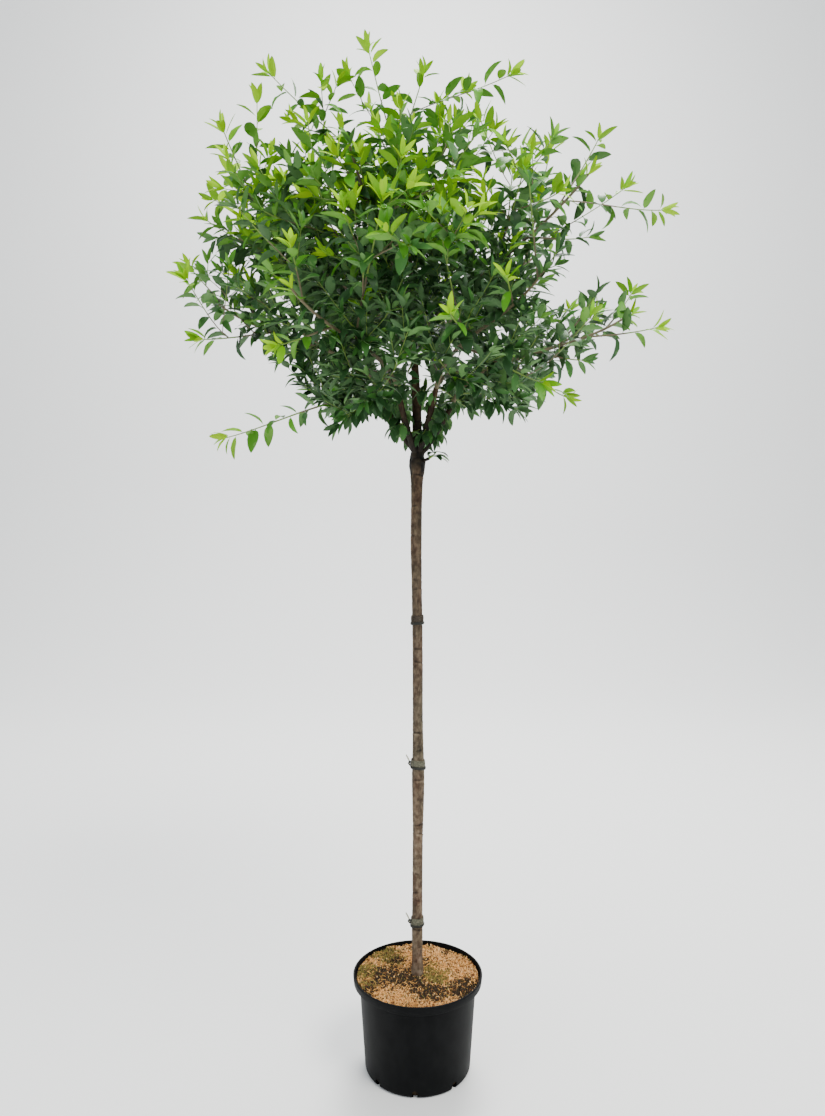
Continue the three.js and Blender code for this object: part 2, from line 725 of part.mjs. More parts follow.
function growSprout() {
  const stub = boughPath(STUB);
  const way = stub.getTangent(1);
  const from = stub.getPoint(1).addScaledVector(way, SEAT_GAP);
  const curve = arc(from, way, from.clone().add(SPROUT_STEM));
  const radiusAt = taper(STUB_RADIUS * SPROUT_STEM_SHARE, TWIG_TIP_RADIUS);
  const stem = makeLimb(curve, radiusAt, STEM_SIDES, TWIG_STEPS);
  const body = grower(limbSolid(stem));
  for (let i = 0; i < SPROUT_LEAVES; i += 1) {
    const share = SPROUT_BARE_FOOT + SPROUT_LEAF_STRETCH * i / (SPROUT_LEAVES - 1);
    const { point, way: on } = alongLimb(stem, share);
    const side = new THREE.Vector3().crossVectors(on, UP).normalize()
      .applyAxisAngle(on, degrees(i * GOLDEN_ANGLE));
    const leaf = makeLeaf(point, on, side, degrees(SPROUT_LEAN), SPROUT_LEAF_LENGTH, 0);
    const places = leafSamples(leaf);
    if (places.every((place) => inSproutBall(place, 0) && clearOfLimbs(place, SPROUT_GAP))) {
      body.join(toSolid(leafGeometry(leaf)), LEAF_JOIN);
    }
  }
  return body.result();
}

// Pot

function potSolid() {
  const neck = NECK_DIAMETER / 2;
  const rim = RIM_DIAMETER / 2;
  const base = BASE_DIAMETER / 2;
  const wallAt = (z) => base + (neck - base) * (z - BASE_ROUNDING) / (POT_HEIGHT - BASE_ROUNDING);
  const profile = [new THREE.Vector2(0, 0)];
  for (let i = 0; i <= BASE_CORNER_STEPS; i += 1) {
    const a = (Math.PI / 2) * (i / BASE_CORNER_STEPS);
    profile.push(new THREE.Vector2(
      base - BASE_ROUNDING + BASE_ROUNDING * Math.sin(a),
      BASE_ROUNDING - BASE_ROUNDING * Math.cos(a),
    ));
  }
  const beadLow = POT_HEIGHT - BEAD_DROP;
  const shoulder = POT_HEIGHT - RIM_DEPTH;
  const bandInside = rim - LIP_WIDTH - BAND_DRAFT;
  const inner = (z) => wallAt(z) - POT_WALL;
  [
    [wallAt(beadLow), beadLow],
    [wallAt(beadLow) + BEAD_PROUD, beadLow + BEAD_HEIGHT / 5],
    [wallAt(beadLow + BEAD_HEIGHT) + BEAD_PROUD, beadLow + BEAD_HEIGHT],
    [wallAt(shoulder), shoulder],
    [rim - BAND_DRAFT, shoulder],
    [rim, POT_HEIGHT - RIM_ROUNDING],
    [rim - RIM_ROUNDING, POT_HEIGHT],
    [rim - LIP_WIDTH, POT_HEIGHT],
    [bandInside, shoulder + POT_WALL],
    [inner(shoulder + POT_WALL), shoulder + POT_WALL],
    [inner(POT_FLOOR + BASE_ROUNDING), POT_FLOOR + BASE_ROUNDING],
    [base - BASE_ROUNDING, POT_FLOOR],
    [0, POT_FLOOR],
  ].forEach(([r, z]) => profile.push(new THREE.Vector2(r, z)));
  const shell = new THREE.LatheGeometry(profile, POT_SIDES);
  shell.rotateX(Math.PI / 2);
  let pot = toSolid(shell);
  for (let i = 0; i < DRAIN_HOLES; i += 1) {
    const half = DRAIN_WIDTH / 2;
    const hole = new THREE.CylinderGeometry(half, half, BASE_ROUNDING * 4, DRAIN_SIDES);
    hole.rotateZ(Math.PI / 2);
    hole.scale(1, 1, DRAIN_HEIGHT / DRAIN_WIDTH);
    hole.translate(base, 0, DRAIN_CENTRE);
    hole.rotateZ(degrees(DRAIN_TURN + i * 360 / DRAIN_HOLES));
    pot = pot.subtract(toSolid(hole));
  }
  return mainBody(pot);
}

// Root ball

function mulchHeave(x, y) {
  const out = Math.hypot(x, y);
  const free = THREE.MathUtils.smoothstep(out, FOOT_REST, FOOT_REST * 2);
  const broad = Math.sin(x * WAVE_X + 1.3) * Math.cos(y * WAVE_Y - 0.4);
  const fine = FINE_WAVE_SHARE * Math.sin(x * FINE_WAVE_X - y * FINE_WAVE_Y);
  return MULCH_HEAVE * free * (broad + fine) / (1 + FINE_WAVE_SHARE);
}

function soilSolid() {
  const neck = NECK_DIAMETER / 2;
  const base = BASE_DIAMETER / 2;
  const shelf = POT_HEIGHT - RIM_DEPTH + POT_WALL + SEAT_GAP;
  const share = (shelf - BASE_ROUNDING) / (POT_HEIGHT - BASE_ROUNDING);
  const neckRadius = base + (neck - base) * share - POT_WALL - SEAT_GAP * 2;
  const topRadius = RIM_DIAMETER / 2 - LIP_WIDTH - BAND_DRAFT - SEAT_GAP * 2;
  const profile = [
    new THREE.Vector2(0, POT_FLOOR + SEAT_GAP),
    new THREE.Vector2(base - BASE_ROUNDING - SEAT_GAP, POT_FLOOR + SEAT_GAP),
    new THREE.Vector2(base - POT_WALL - SEAT_GAP * 2, POT_FLOOR + BASE_ROUNDING + SEAT_GAP),
    new THREE.Vector2(neckRadius, shelf),
    new THREE.Vector2(topRadius, shelf),
  ];
  for (let i = 0; i < SOIL_RINGS; i += 1) {
    profile.push(new THREE.Vector2(topRadius * (1 - i / SOIL_RINGS), SOIL_TOP));
  }
  profile.push(new THREE.Vector2(0, SOIL_TOP));
  const ball = new THREE.LatheGeometry(profile, POT_SIDES);
  ball.rotateX(Math.PI / 2);
  const places = ball.attributes.position;
  for (let i = 0; i < places.count; i += 1) {
    if (places.getZ(i) > SOIL_TOP - 1) {
      const inward = Math.hypot(places.getX(i), places.getY(i)) < topRadius - 1;
      if (inward) places.setZ(i, SOIL_TOP + mulchHeave(places.getX(i), places.getY(i)));
    }
  }
  return toSolid(ball);
}

// Ties

// A tie is a flat soft band with a rolled lower edge, drawn round the trunk on a slant
function tieSolid(tie) {
  const seat = SEAT_GAP + TIE_EASE;
  const profile = [
    [seat, -TIE_HEIGHT / 2 - TIE_ROLL],
    [seat + TIE_ROLL, -TIE_HEIGHT / 2 - TIE_ROLL],
    [seat + TIE_ROLL + TIE_BEVEL, -TIE_HEIGHT / 2],
    [seat + TIE_THICKNESS, -TIE_HEIGHT / 2 + TIE_ROLL],
    [seat + TIE_THICKNESS, TIE_HEIGHT / 2 - TIE_BEVEL],
    [seat + TIE_THICKNESS - TIE_BEVEL, TIE_HEIGHT / 2],
    [seat, TIE_HEIGHT / 2],
    [seat, -TIE_HEIGHT / 2 - TIE_ROLL],
  ].map(([out, z]) => new THREE.Vector2(out, z));
  const ring = new THREE.LatheGeometry(profile, TRUNK_SIDES);
  ring.rotateX(Math.PI / 2);
  const places = ring.attributes.position;
  for (let i = 0; i < places.count; i += 1) {
    const angle = Math.atan2(places.getY(i), places.getX(i));
    const z = tie.z + places.getZ(i);
    const radius = Math.hypot(places.getX(i), places.getY(i)) + trunkRadius(z);
    const centre = trunkCentre(z);
    const x = radius * Math.cos(angle);
    const slant = x * Math.tan(degrees(tie.tilt));
    places.setXYZ(i, centre.x + x, centre.y + radius * Math.sin(angle), z + slant);
  }
  const band = toSolid(ring);
  if (!tie.knot) return band;
  const side = trunkCentre(tie.z).x - trunkRadius(tie.z) - seat - TIE_THICKNESS;
  const knot = new THREE.SphereGeometry(KNOT_RADIUS, 6, 4);
  knot.scale(...KNOT_STRETCH);
  knot.translate(side - KNOT_RADIUS / 2, -KNOT_FORWARD, tie.z - TIE_BEVEL);
  const end = new THREE.BoxGeometry(LOOSE_END_WIDTH, LOOSE_END_THICKNESS, LOOSE_END);
  end.rotateY(degrees(LOOSE_END_LEAN));
  end.translate(side - KNOT_RADIUS - TIE_BEVEL, -KNOT_FORWARD - 1, tie.z + LOOSE_END / 2);
  return mainBody(band.add(toSolid(knot)).add(toSolid(end)));
}

// Assembly

const tree = new THREE.Group();

function addPiece(name, solid, material) {
  const mesh = new THREE.Mesh(toGeometry(solid), material);
  mesh.name = name;
  tree.add(mesh);
}

addPiece('pot', potSolid(), finishes.pot());
addPiece('root_ball', soilSolid(), finishes.mulch());

addPiece('trunk', trunkSolid(), finishes.bark());
TIES.forEach((tie) => addPiece(tie.name, tieSolid(tie), finishes.tie()));

// Each limb is cut back by the gap from the trunk and from the boughs made before it
const clearTrunk = trunkSolid(SEAT_GAP);
let clearLimbs = clearTrunk;
BOUGHS.forEach((bough) => {
  const limb = boughSolid(bough, BOUGH_ROOT_RADIUS, BOUGH_TIP_RADIUS).subtract(clearLimbs);
  addPiece(bough.name, mainBody(limb), finishes.bark());
  clearLimbs = clearLimbs.add(boughSolid(bough, BOUGH_ROOT_RADIUS, BOUGH_TIP_RADIUS, SEAT_GAP));
});
const stub = boughSolid(STUB, STUB_RADIUS, STUB_TIP_RADIUS).subtract(clearLimbs);
addPiece(STUB.name, mainBody(stub), finishes.bark());

MASSES.forEach((mass) => {
  const grown = growMass(mass);
  const clear = mass.level === 'upper' ? mainBody(grown.subtract(clearTrunk)) : grown;
  addPiece(mass.name, clear, finishes.leaf());
});
addPiece(SPROUT.name, growSprout(), finishes.leaf());

export default tree;
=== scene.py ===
import math
import bpy
import numpy as np
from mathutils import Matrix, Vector, noise


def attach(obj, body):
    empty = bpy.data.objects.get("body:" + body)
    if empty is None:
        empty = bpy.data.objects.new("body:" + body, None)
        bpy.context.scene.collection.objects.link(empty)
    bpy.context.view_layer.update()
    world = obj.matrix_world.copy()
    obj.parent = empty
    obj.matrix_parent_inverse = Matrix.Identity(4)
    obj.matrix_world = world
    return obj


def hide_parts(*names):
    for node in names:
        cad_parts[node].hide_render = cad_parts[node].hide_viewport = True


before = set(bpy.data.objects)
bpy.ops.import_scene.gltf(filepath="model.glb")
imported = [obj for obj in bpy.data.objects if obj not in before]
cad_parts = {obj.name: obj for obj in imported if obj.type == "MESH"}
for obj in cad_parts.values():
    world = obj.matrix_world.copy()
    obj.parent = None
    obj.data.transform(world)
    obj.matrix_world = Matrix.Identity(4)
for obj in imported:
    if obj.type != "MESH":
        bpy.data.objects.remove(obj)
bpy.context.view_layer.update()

# %% [markdown]
# # A potted standard tree
# This lesson dresses a potted standard tree that comes from CAD. The CAD model gives every part its
# place and its size. Here each part gets its real surface: bark with rings, a moulded pot, fibrous
# mulch, and several thousand leaves. Everything is in metres, and the tree stands on the origin with
# its front towards -Y.

# %% Units


MM = 0.001

# %% [markdown]
# The helpers for finishes come next. A colour is written as in a paint program, so it is
# turned into Blender's linear numbers once, in one place. One helper makes a plain finish,
# one adds a node with its settings and its links, and `mottled` makes what most moulded or
# weathered things need: two tones that waver into each other, and a fine relief.

# %% Helpers for colours and materials

# A noise stays mostly between these two values, so its two tones are reached there
TONE_ENDS = (0.36, 0.64)


def linear(hex_colour):
    """An sRGB colour such as 4A7A2B as Blender's linear RGBA."""
    parts = [int(hex_colour[i:i + 2], 16) / 255 for i in (0, 2, 4)]
    return [p / 12.92 if p < 0.04045 else ((p + 0.055) / 1.055) ** 2.4 for p in parts] + [1]


def make_material(name, colour, roughness, specular):
    """A material with one colour."""
    material = bpy.data.materials.new(name)
    material.use_nodes = True
    sockets = material.node_tree.nodes["Principled BSDF"].inputs
    sockets["Base Color"].default_value = linear(colour)
    sockets["Roughness"].default_value = roughness
    sockets["Specular IOR Level"].default_value = specular
    return material


def add_node(material, kind, settings=(), links=()):
    """Adds a node: settings are (socket or property, value), links are (socket, source)."""
    tree = material.node_tree
    node = tree.nodes.new(kind)
    for key, value in settings:
        if isinstance(key, str) and hasattr(node, key):
            setattr(node, key, value)
        else:
            node.inputs[key].default_value = value
    for key, source in links:
        tree.links.new(source, node.inputs[key])
    return node


def drive_shader(material, socket, source):
    """Lets a node's output drive one socket of the material's shader."""
    shader = material.node_tree.nodes["Principled BSDF"]
    material.node_tree.links.new(source, shader.inputs[socket])


def noise_between(material, low, high, per_metre, stretch=(1, 1, 1), detail=4):
    """A noise in the object's own metres. Returns its height and its two tones."""
    place = add_node(material, "ShaderNodeTexCoord")
    mapping = add_node(material, "ShaderNodeMapping", [("Scale", stretch)],
                       [("Vector", place.outputs["Object"])])
    cloud = add_node(material, "ShaderNodeTexNoise", [("Scale", per_metre), ("Detail", detail)],
                     [("Vector", mapping.outputs["Vector"])])
    ramp = add_node(material, "ShaderNodeValToRGB", [], [("Fac", cloud.outputs["Fac"])])
    for element, position, tone in zip(ramp.color_ramp.elements, TONE_ENDS, (low, high)):
        element.position = position
        element.color = linear(tone)
    return cloud.outputs["Fac"], ramp.outputs["Color"]


def add_bump(material, height, strength, depth):
    """Fine relief that only the light sees. The depth is in metres."""
    bump = add_node(material, "ShaderNodeBump", [("Strength", strength), ("Distance", depth)],
                    [("Height", height)])
    drive_shader(material, "Normal", bump.outputs["Normal"])


def mottled(name, low, high, per_metre, roughness, specular, relief, stretch=(1, 1, 1)):
    """A material that wavers between two tones, with a relief of (strength, depth)."""
    material = make_material(name, low, roughness, specular)
    height, tones = noise_between(material, low, high, per_metre, stretch)
    drive_shader(material, "Base Color", tones)
    add_bump(material, height, *relief)
    return material


# %% [markdown]
# Next come the helpers for shapes. `draw_up` models anything turned on a wheel: it starts
# from one circle and draws it on, ring by ring, to each radius and height of a profile. Each
# step is one extrude and one resize, the same keys that are pressed by hand. `from_arrays`
# makes one mesh from rows of points, which is how thousands of leaves become one object.

# %% Helpers for shapes


def deselect():
    """Operators act on all that is selected, so each job starts with nothing selected."""
    bpy.ops.object.select_all(action="DESELECT")


def select_only(piece):
    """Makes one piece the only selected one and the active one."""
    deselect()
    bpy.context.view_layer.objects.active = piece
    piece.select_set(True)


def finish_piece(piece, materials, slot, *nodes, smooth=40):
    """Gives a piece its finishes, rounds its shading, and puts it in place of CAD nodes."""
    for material in materials:
        piece.data.materials.append(material)
    select_only(piece)
    bpy.ops.object.shade_smooth_by_angle(angle=math.radians(smooth))
    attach(piece, "root")
    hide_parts(*nodes)


def outward(piece):
    """Turns every face of a closed mesh to the outside."""
    select_only(piece)
    bpy.ops.object.mode_set(mode="EDIT")
    bpy.ops.mesh.select_all(action="SELECT")
    bpy.ops.mesh.normals_make_consistent(inside=False)
    bpy.ops.object.mode_set(mode="OBJECT")


def draw_up(name, profile, sides):
    """A turned piece: profile rows are (radius, height) in mm, from the axis to the axis."""
    deselect()
    radius, height = profile[0]
    bpy.ops.mesh.primitive_circle_add(vertices=sides, radius=radius * MM,
                                      location=(0, 0, 0), fill_type="NGON")
    piece = bpy.context.active_object
    piece.name = name
    bpy.ops.object.mode_set(mode="EDIT")
    bpy.ops.mesh.select_all(action="SELECT")
    bpy.ops.transform.translate(value=(0, 0, height * MM))
    for next_radius, next_height in profile[1:]:
        bpy.ops.mesh.extrude_region_move(
            TRANSFORM_OT_translate={"value": (0, 0, (next_height - height) * MM)})
        share = next_radius / radius
        bpy.ops.transform.resize(value=(share, share, 1),
                                 center_override=(0, 0, next_height * MM))
        radius, height = next_radius, next_height
    bpy.ops.object.mode_set(mode="OBJECT")
    outward(piece)
    return piece


def from_arrays(name, points, faces):
    """One mesh object from rows of points in mm and rows of corner numbers."""
    mesh = bpy.data.meshes.new(name)
    mesh.from_pydata((np.asarray(points, dtype=float) * MM).tolist(), [], faces)
    mesh.update()
    piece = bpy.data.objects.new(name, mesh)
    bpy.context.scene.collection.objects.link(piece)
    return piece


def unit(vectors):
    """Vectors of length one."""
    vectors = np.asarray(vectors, dtype=float)
    return vectors / np.maximum(np.linalg.norm(vectors, axis=-1, keepdims=True), 1e-9)


def round_angles(sides):
    """Angles of the corners of a round section."""
    return np.arange(sides) * 2 * math.pi / sides


def ramp_to_one(value, start, length):
    """0 up to a start, then rising evenly to 1 over a length."""
    return min(max((value - start) / length, 0), 1)


# %% [markdown]
# ## The pot
# A nursery pot is injected from black polypropylene. It has a rounded foot, walls that widen
# upwards, a bead, a shoulder that steps out, and an upright rim band with a rolled lip. It
# could be spun from a drawn curve, but `draw_up` needs only a radius and a height for each
# row. The profile goes up the outside first, over the lip and down the inside.

# %% Pot

POT_HEIGHT = 220
RIM_RADIUS = 150
NECK_RADIUS = 136.5
BASE_RADIUS = 122.5
POT_WALL = 2.6
POT_FLOOR = 3
POT_SIDES = 128
FOOT_ROUND = 9
LIP_ROUND = 2
LIP_WIDTH = 4.5
LIP_FLAT = 3.6
LIP_BEVEL = 0.8
BAND_INSIDE = 144
STEP_HEIGHT = 205
FIRST_CIRCLE = 4
# A shallow groove under the foot: how far inside the foot's edge, and how deep
FOOT_GROOVE = [(30, 0), (29, 1.2), (20, 1.2), (19, 0)]
# The bead: height of the wall behind it, how far it stands proud, and its own height
BEAD = [(194, 1.5, 194.6), (196, 1.8, 196), (198, 1.8, 198), (199, 1.2, 199.3),
        (200, 0, 200.2), (201, 0.6, 201.6)]
# The shoulder under the rim band: how far inside the rim, and height
SHOULDER = [(3, 202), (1.7, 202.4), (1.3, 203.6)]


def wall_at(z):
    """The pot's outer radius at a height, without rim and bead."""
    share = (z - FOOT_ROUND) / (POT_HEIGHT - FOOT_ROUND)
    return BASE_RADIUS + (NECK_RADIUS - BASE_RADIUS) * share


def quarter(centre_r, centre_z, radius, start, stop, steps):
    """Rows of a rounded corner, by its angles in degrees."""
    angles = np.radians(np.linspace(start, stop, steps))
    return [(centre_r + radius * math.cos(a), centre_z + radius * math.sin(a)) for a in angles]


pot_profile = [(FIRST_CIRCLE, 0)] + [(BASE_RADIUS - inside, deep) for inside, deep in FOOT_GROOVE]
pot_profile += quarter(BASE_RADIUS - FOOT_ROUND, FOOT_ROUND, FOOT_ROUND, -90, 0, 6)
pot_profile += [(wall_at(z), z) for z in (60, 120, 193)]
pot_profile += [(wall_at(behind) + proud, z) for behind, proud, z in BEAD]
pot_profile += [(RIM_RADIUS - inside, z) for inside, z in SHOULDER]
pot_profile += quarter(RIM_RADIUS - LIP_ROUND, POT_HEIGHT - LIP_ROUND, LIP_ROUND, 0, 90, 5)
pot_profile += [(RIM_RADIUS - LIP_FLAT, POT_HEIGHT),
                (RIM_RADIUS - LIP_WIDTH, POT_HEIGHT - LIP_BEVEL),
                (BAND_INSIDE, STEP_HEIGHT + 2), (BAND_INSIDE - 1, STEP_HEIGHT),
                (wall_at(STEP_HEIGHT - 1) - 1, STEP_HEIGHT - 0.6)]
pot_profile += [(wall_at(z) - POT_WALL, z) for z in (203, 110, 12)]
pot_profile += [(BASE_RADIUS - FOOT_ROUND, POT_FLOOR), (FIRST_CIRCLE, POT_FLOOR)]
pot = draw_up("pot_shell", pot_profile, POT_SIDES)
print("pot rows:", len(pot_profile))

# %% [markdown]
# Water leaves through eight holes at the foot. Each cutter is a cylinder that lies across
# the wall and is stretched upright. The cutters are joined, so that one Boolean modifier
# cuts all the holes at once.

# %% Drain holes and the pot's finish

DRAIN_HOLES = 8
DRAIN_TURN = -93
DRAIN_WIDTH = 15
DRAIN_HEIGHT = 20
DRAIN_CENTRE = 8
CUTTER_LENGTH = 26
deselect()
cutters = []
for i in range(DRAIN_HOLES):
    turn = math.radians(DRAIN_TURN + i * 360 / DRAIN_HOLES)
    bpy.ops.mesh.primitive_cylinder_add(
        vertices=32, radius=DRAIN_WIDTH / 2 * MM, depth=CUTTER_LENGTH * MM,
        location=(BASE_RADIUS * MM * math.cos(turn), BASE_RADIUS * MM * math.sin(turn),
                  DRAIN_CENTRE * MM),
        rotation=(math.pi / 2, 0, turn + math.pi / 2), scale=(1, DRAIN_HEIGHT / DRAIN_WIDTH, 1))
    cutters.append(bpy.context.active_object)
select_only(cutters[0])
for cutter in cutters:
    cutter.select_set(True)
bpy.ops.object.join()
cutter = bpy.context.active_object
holes = pot.modifiers.new("drain_holes", "BOOLEAN")
holes.operation = "DIFFERENCE"
holes.object = cutter
select_only(pot)
bpy.ops.object.modifier_apply(modifier=holes.name)
bpy.data.objects.remove(cutter)
print("pot points:", len(pot.data.vertices))

# Moulded black polypropylene: nearly black with a cool grey sheen, and dust that dulls it
pot_black = mottled("moulded_black_polypropylene", "060708", "0C0D0E", 40, 0.54, 0.07,
                    (0.15, 0.0004), (1, 1, 0.6))
finish_piece(pot, [pot_black], "pot", "pot", smooth=35)

# %% [markdown]
# ## The root ball and its mulch
# The compost fills the pot nearly to its rim. Its top is covered with pale coir fibre and husk chips,
# with darker patches, and moss has grown on it, most of it on the left. The ball itself is drawn up
# like the pot, with many rings on top. Its top points are then raised by two noises, which gives a
# heaved surface without any sculpting.

# %% Root ball

SOIL_TOP = 211
BALL_GAP = 3.4
STEP_GAP = 3.2
TOP_RINGS = 34
MOUND = 3.5
MOUND_SUNK = 1.5
# The mulch is even round the stem out to the first radius, and heaves fully 20 mm farther
CALM = (14, 20)
# Broad and fine heaving: waves per mm, height in mm, and a level of the noise
HEAVES = [(0.025, 4.5, 1), (0.09, 3, 5)]
ball_top_radius = BAND_INSIDE - 1.2


def flat_noise(x, y, waves, level):
    """A noise over the mulch, by place in mm."""
    return noise.noise(Vector((x * waves, y * waves, level)))


def heave(x, y):
    """How far the mulch stands above its mean level at a place."""
    out = math.hypot(x, y)
    mound = MOUND * (1 - (out / ball_top_radius) ** 2) - MOUND_SUNK
    waves = sum(height * flat_noise(x, y, waves, level) for waves, height, level in HEAVES)
    return mound + ramp_to_one(out, *CALM) * waves


rings = [(FIRST_CIRCLE, BALL_GAP), (BASE_RADIUS - 10, BALL_GAP), (BASE_RADIUS - BALL_GAP, 14),
         (wall_at(203) - BALL_GAP, 203.6), (wall_at(205) - STEP_GAP, 205.4),
         (ball_top_radius - 1.4, 206), (ball_top_radius, SOIL_TOP - 2)]
rings += [(r, SOIL_TOP) for r in np.linspace(ball_top_radius - 2, 3, TOP_RINGS)]
ball = draw_up("compost_ball", rings, 96)
for corner in ball.data.vertices:
    if corner.co.z > (SOIL_TOP - 1) * MM:
        corner.co.z += heave(corner.co.x / MM, corner.co.y / MM) * MM
print("ball points:", len(ball.data.vertices))

# Damp compost: dark and matt, in crumbs of about 7 mm that make the ground under the fibres
compost = mottled("damp_compost", "14100C", "4A3A28", 150, 0.95, 0.15, (0.8, 0.002))
finish_piece(ball, [compost], "mulch", "root_ball")

# %% [markdown]
# Every bit of mulch is the same idea: a short centre line, cut in a few steps, with a small
# closed section round it. `strips` builds all of them at once with arrays: it repeats one
# section for each step of each line, and numbers the faces by a pattern. A particle system
# could scatter them too, but a joined mesh is what an export keeps.

# %% Strips


def strips(centres, sections):
    """Closed strips: centres is (n, steps, 3), sections is (n, steps, corners, 3)."""
    count, steps, corners, _ = sections.shape
    points = (centres[:, :, None, :] + sections).reshape(-1, 3)
    ring = np.arange(corners)
    after = (ring + 1) % corners
    faces = []
    for k in range(count):
        start = k * steps * corners
        for s in range(steps - 1):
            low = start + s * corners
            high = low + corners
            faces += [(low + a, low + b, high + b, high + a) for a, b in zip(ring, after)]
        faces.append(tuple(start + ring[::-1]))
        faces.append(tuple(start + (steps - 1) * corners + ring))
    return points, faces


rng = np.random.default_rng(20)

# %% [markdown]
# Where each kind of mulch lies is settled by a few round patches with ragged edges. Places
# are then drawn at random and kept where their kind lies, with a few strays elsewhere.

# %% Mulch patches

# Where dark chips lie, and where moss grows: place and radius in mm
DARK_PATCHES = [(-60, 5, 34), (-30, -20, 38), (-78, -26, 30), (-4, -38, 30), (34, -78, 38),
                (100, -64, 36), (120, -30, 20), (-102, -78, 20), (20, 52, 14), (-46, 60, 18),
                (72, 100, 16), (0, 24, 16), (-10, 118, 14)]
MOSS_PATCHES = [(-116, 10, 40), (-106, -46, 30), (-78, 98, 40), (-52, 60, 34), (44, -12, 42),
                (30, 30, 26)]
DARK_LIMIT = 0.44
MOSS_LIMIT = 0.5
BARE_ROUND_STEM = 15
EDGE_GAP = 3
LITTER_BEND = 0.9
LITTER_LIFT = 0.8


def patch_amount(x, y, patches):
    """How strongly a place lies in a set of patches, with a ragged edge."""
    ragged = 0.35 * flat_noise(x, y, 0.06, 3) + 0.4 * flat_noise(x, y, 0.17, 8)
    return max(math.exp(-((x - a) ** 2 + (y - b) ** 2) / r ** 2) for a, b, r in patches) + ragged


def mulch_kind(x, y):
    """The kind of mulch at a place: dark, moss or coir."""
    if patch_amount(x, y, DARK_PATCHES) > DARK_LIMIT:
        return "dark"
    return "moss" if patch_amount(x, y, MOSS_PATCHES) > MOSS_LIMIT else "coir"


def mulch_places(count, kind, strays):
    """Seeded places on the mulch where one kind lies, with a share of strays elsewhere."""
    places = []
    while len(places) < count:
        x, y = rng.uniform(-ball_top_radius, ball_top_radius, 2)
        if not BARE_ROUND_STEM < math.hypot(x, y) < ball_top_radius - EDGE_GAP:
            continue
        if mulch_kind(x, y) == kind or rng.random() < strays:
            places.append((x, y, SOIL_TOP + heave(x, y)))
    return np.array(places)


def scatter_strips(name, count, kind, strays, length, width, thick, lift, steps):
    """Scattered curved strips that lie on the mulch. Sizes are (least, most) in mm."""
    base = mulch_places(count, kind, strays)
    turn = rng.uniform(0, 2 * math.pi, count)
    bend = rng.normal(0, LITTER_BEND, count)
    long = rng.uniform(*length, count)
    wide = rng.uniform(*width, count)
    rise = rng.uniform(*lift, count)
    share = np.linspace(0, 1, steps)
    heading = turn[:, None] + bend[:, None] * share
    step = long[:, None] / (steps - 1)
    x = base[:, 0, None] + np.cumsum(np.cos(heading) * step, axis=1) - long[:, None] / 2
    y = base[:, 1, None] + np.cumsum(np.sin(heading) * step, axis=1) - long[:, None] / 2
    keep = np.minimum(1, (ball_top_radius - EDGE_GAP) / np.maximum(np.hypot(x, y), 1))
    z = base[:, 2, None] + rise[:, None] * np.sin(share * math.pi)[None, :] + LITTER_LIFT
    centres = np.stack([x * keep, y * keep, z + np.zeros_like(x)], axis=-1)
    side = np.stack([-np.sin(heading), np.cos(heading), np.zeros_like(heading)], axis=-1)
    tip = (1 - 0.75 * np.abs(2 * share - 1) ** 3)[None, :, None]
    half = side * (wide[:, None, None] / 2) * tip
    top = np.zeros_like(half)
    top[..., 2] = thick / 2
    sections = np.stack([half - top * 0.2, top, -half - top * 0.2, -top], axis=2)
    return from_arrays(name, *strips(centres, sections))


print("mulch in the middle of the left side:", mulch_kind(-RIM_RADIUS / 2, 0))

# %% [markdown]
# Six kinds of litter are scattered, from long pale fibres to short brown chips. Each kind is
# one row of a table, with its finish, its number and its sizes, and becomes one joined mesh.

# %% Mulch fibres, chips and moss

# Each piece: its finish as name, colour, roughness and gloss, then how many strips, where they
# lie, the share of strays, their length, width, thickness and arch in mm, and their steps.
# Dry coir is straw-coloured and dull, husk chips paler still, and brown ones set them off. Dark chips
# have a slight shine. Moss makes soft olive cushions, browner where it is old.
MULCH = [
    ("mulch_fibres", ("coir_fibre", "D49C58", 0.9, 0.2),
     3400, "coir", 0.12, (6, 22), (0.6, 2.2), 1.1, (0, 5), 4),
    ("mulch_pale_chips", ("dry_husk_chip", "F2C688", 0.85, 0.25),
     1900, "coir", 0.08, (1.5, 9), (0.9, 3.6), 2, (1, 5.5), 3),
    ("mulch_brown_chips", ("brown_husk_chip", "7A5232", 0.9, 0.2),
     2300, "coir", 0.4, (3, 9), (1.2, 4), 1.8, (0, 5), 3),
    ("mulch_dark_chips", ("dark_chip", "3C3022", 0.85, 0.25),
     3700, "dark", 0.05, (3, 10), (1.4, 4), 1.8, (1, 5), 3),
    ("mulch_moss", ("cushion_moss", "988A4A", 0.95, 0.15),
     2100, "moss", 0.05, (3, 8), (0.8, 2), 1.2, (2, 6), 3),
    ("mulch_old_moss", ("old_moss", "5A4E30", 0.95, 0.15),
     2300, "moss", 0.08, (3, 8), (0.8, 2.2), 1.2, (0.5, 5), 3),
]
for name, finish, *sizes in MULCH:
    finish_piece(scatter_strips(name, *sizes), [make_material(*finish)], "mulch", "root_ball")
print("mulch pieces:", sum(row[2] for row in MULCH))

# %% [markdown]
# ## The trunk
# The stem is slender and nearly even, with two or three thicker stretches, a lumpy knuckle
# where the head was once started, and a leader that goes on into the crown. Its bark is
# thin and smooth: leaf scars go round it as low rings, and small lenticels lie across it.
# The shape follows the CAD trunk's own rule, written again, and the relief is added on top.
# Sculpting would lose that rule, so the surface is a grid of rows from arrays, rolled round
# the trunk's centre line with a row every 2 mm.

# %% Trunk shape

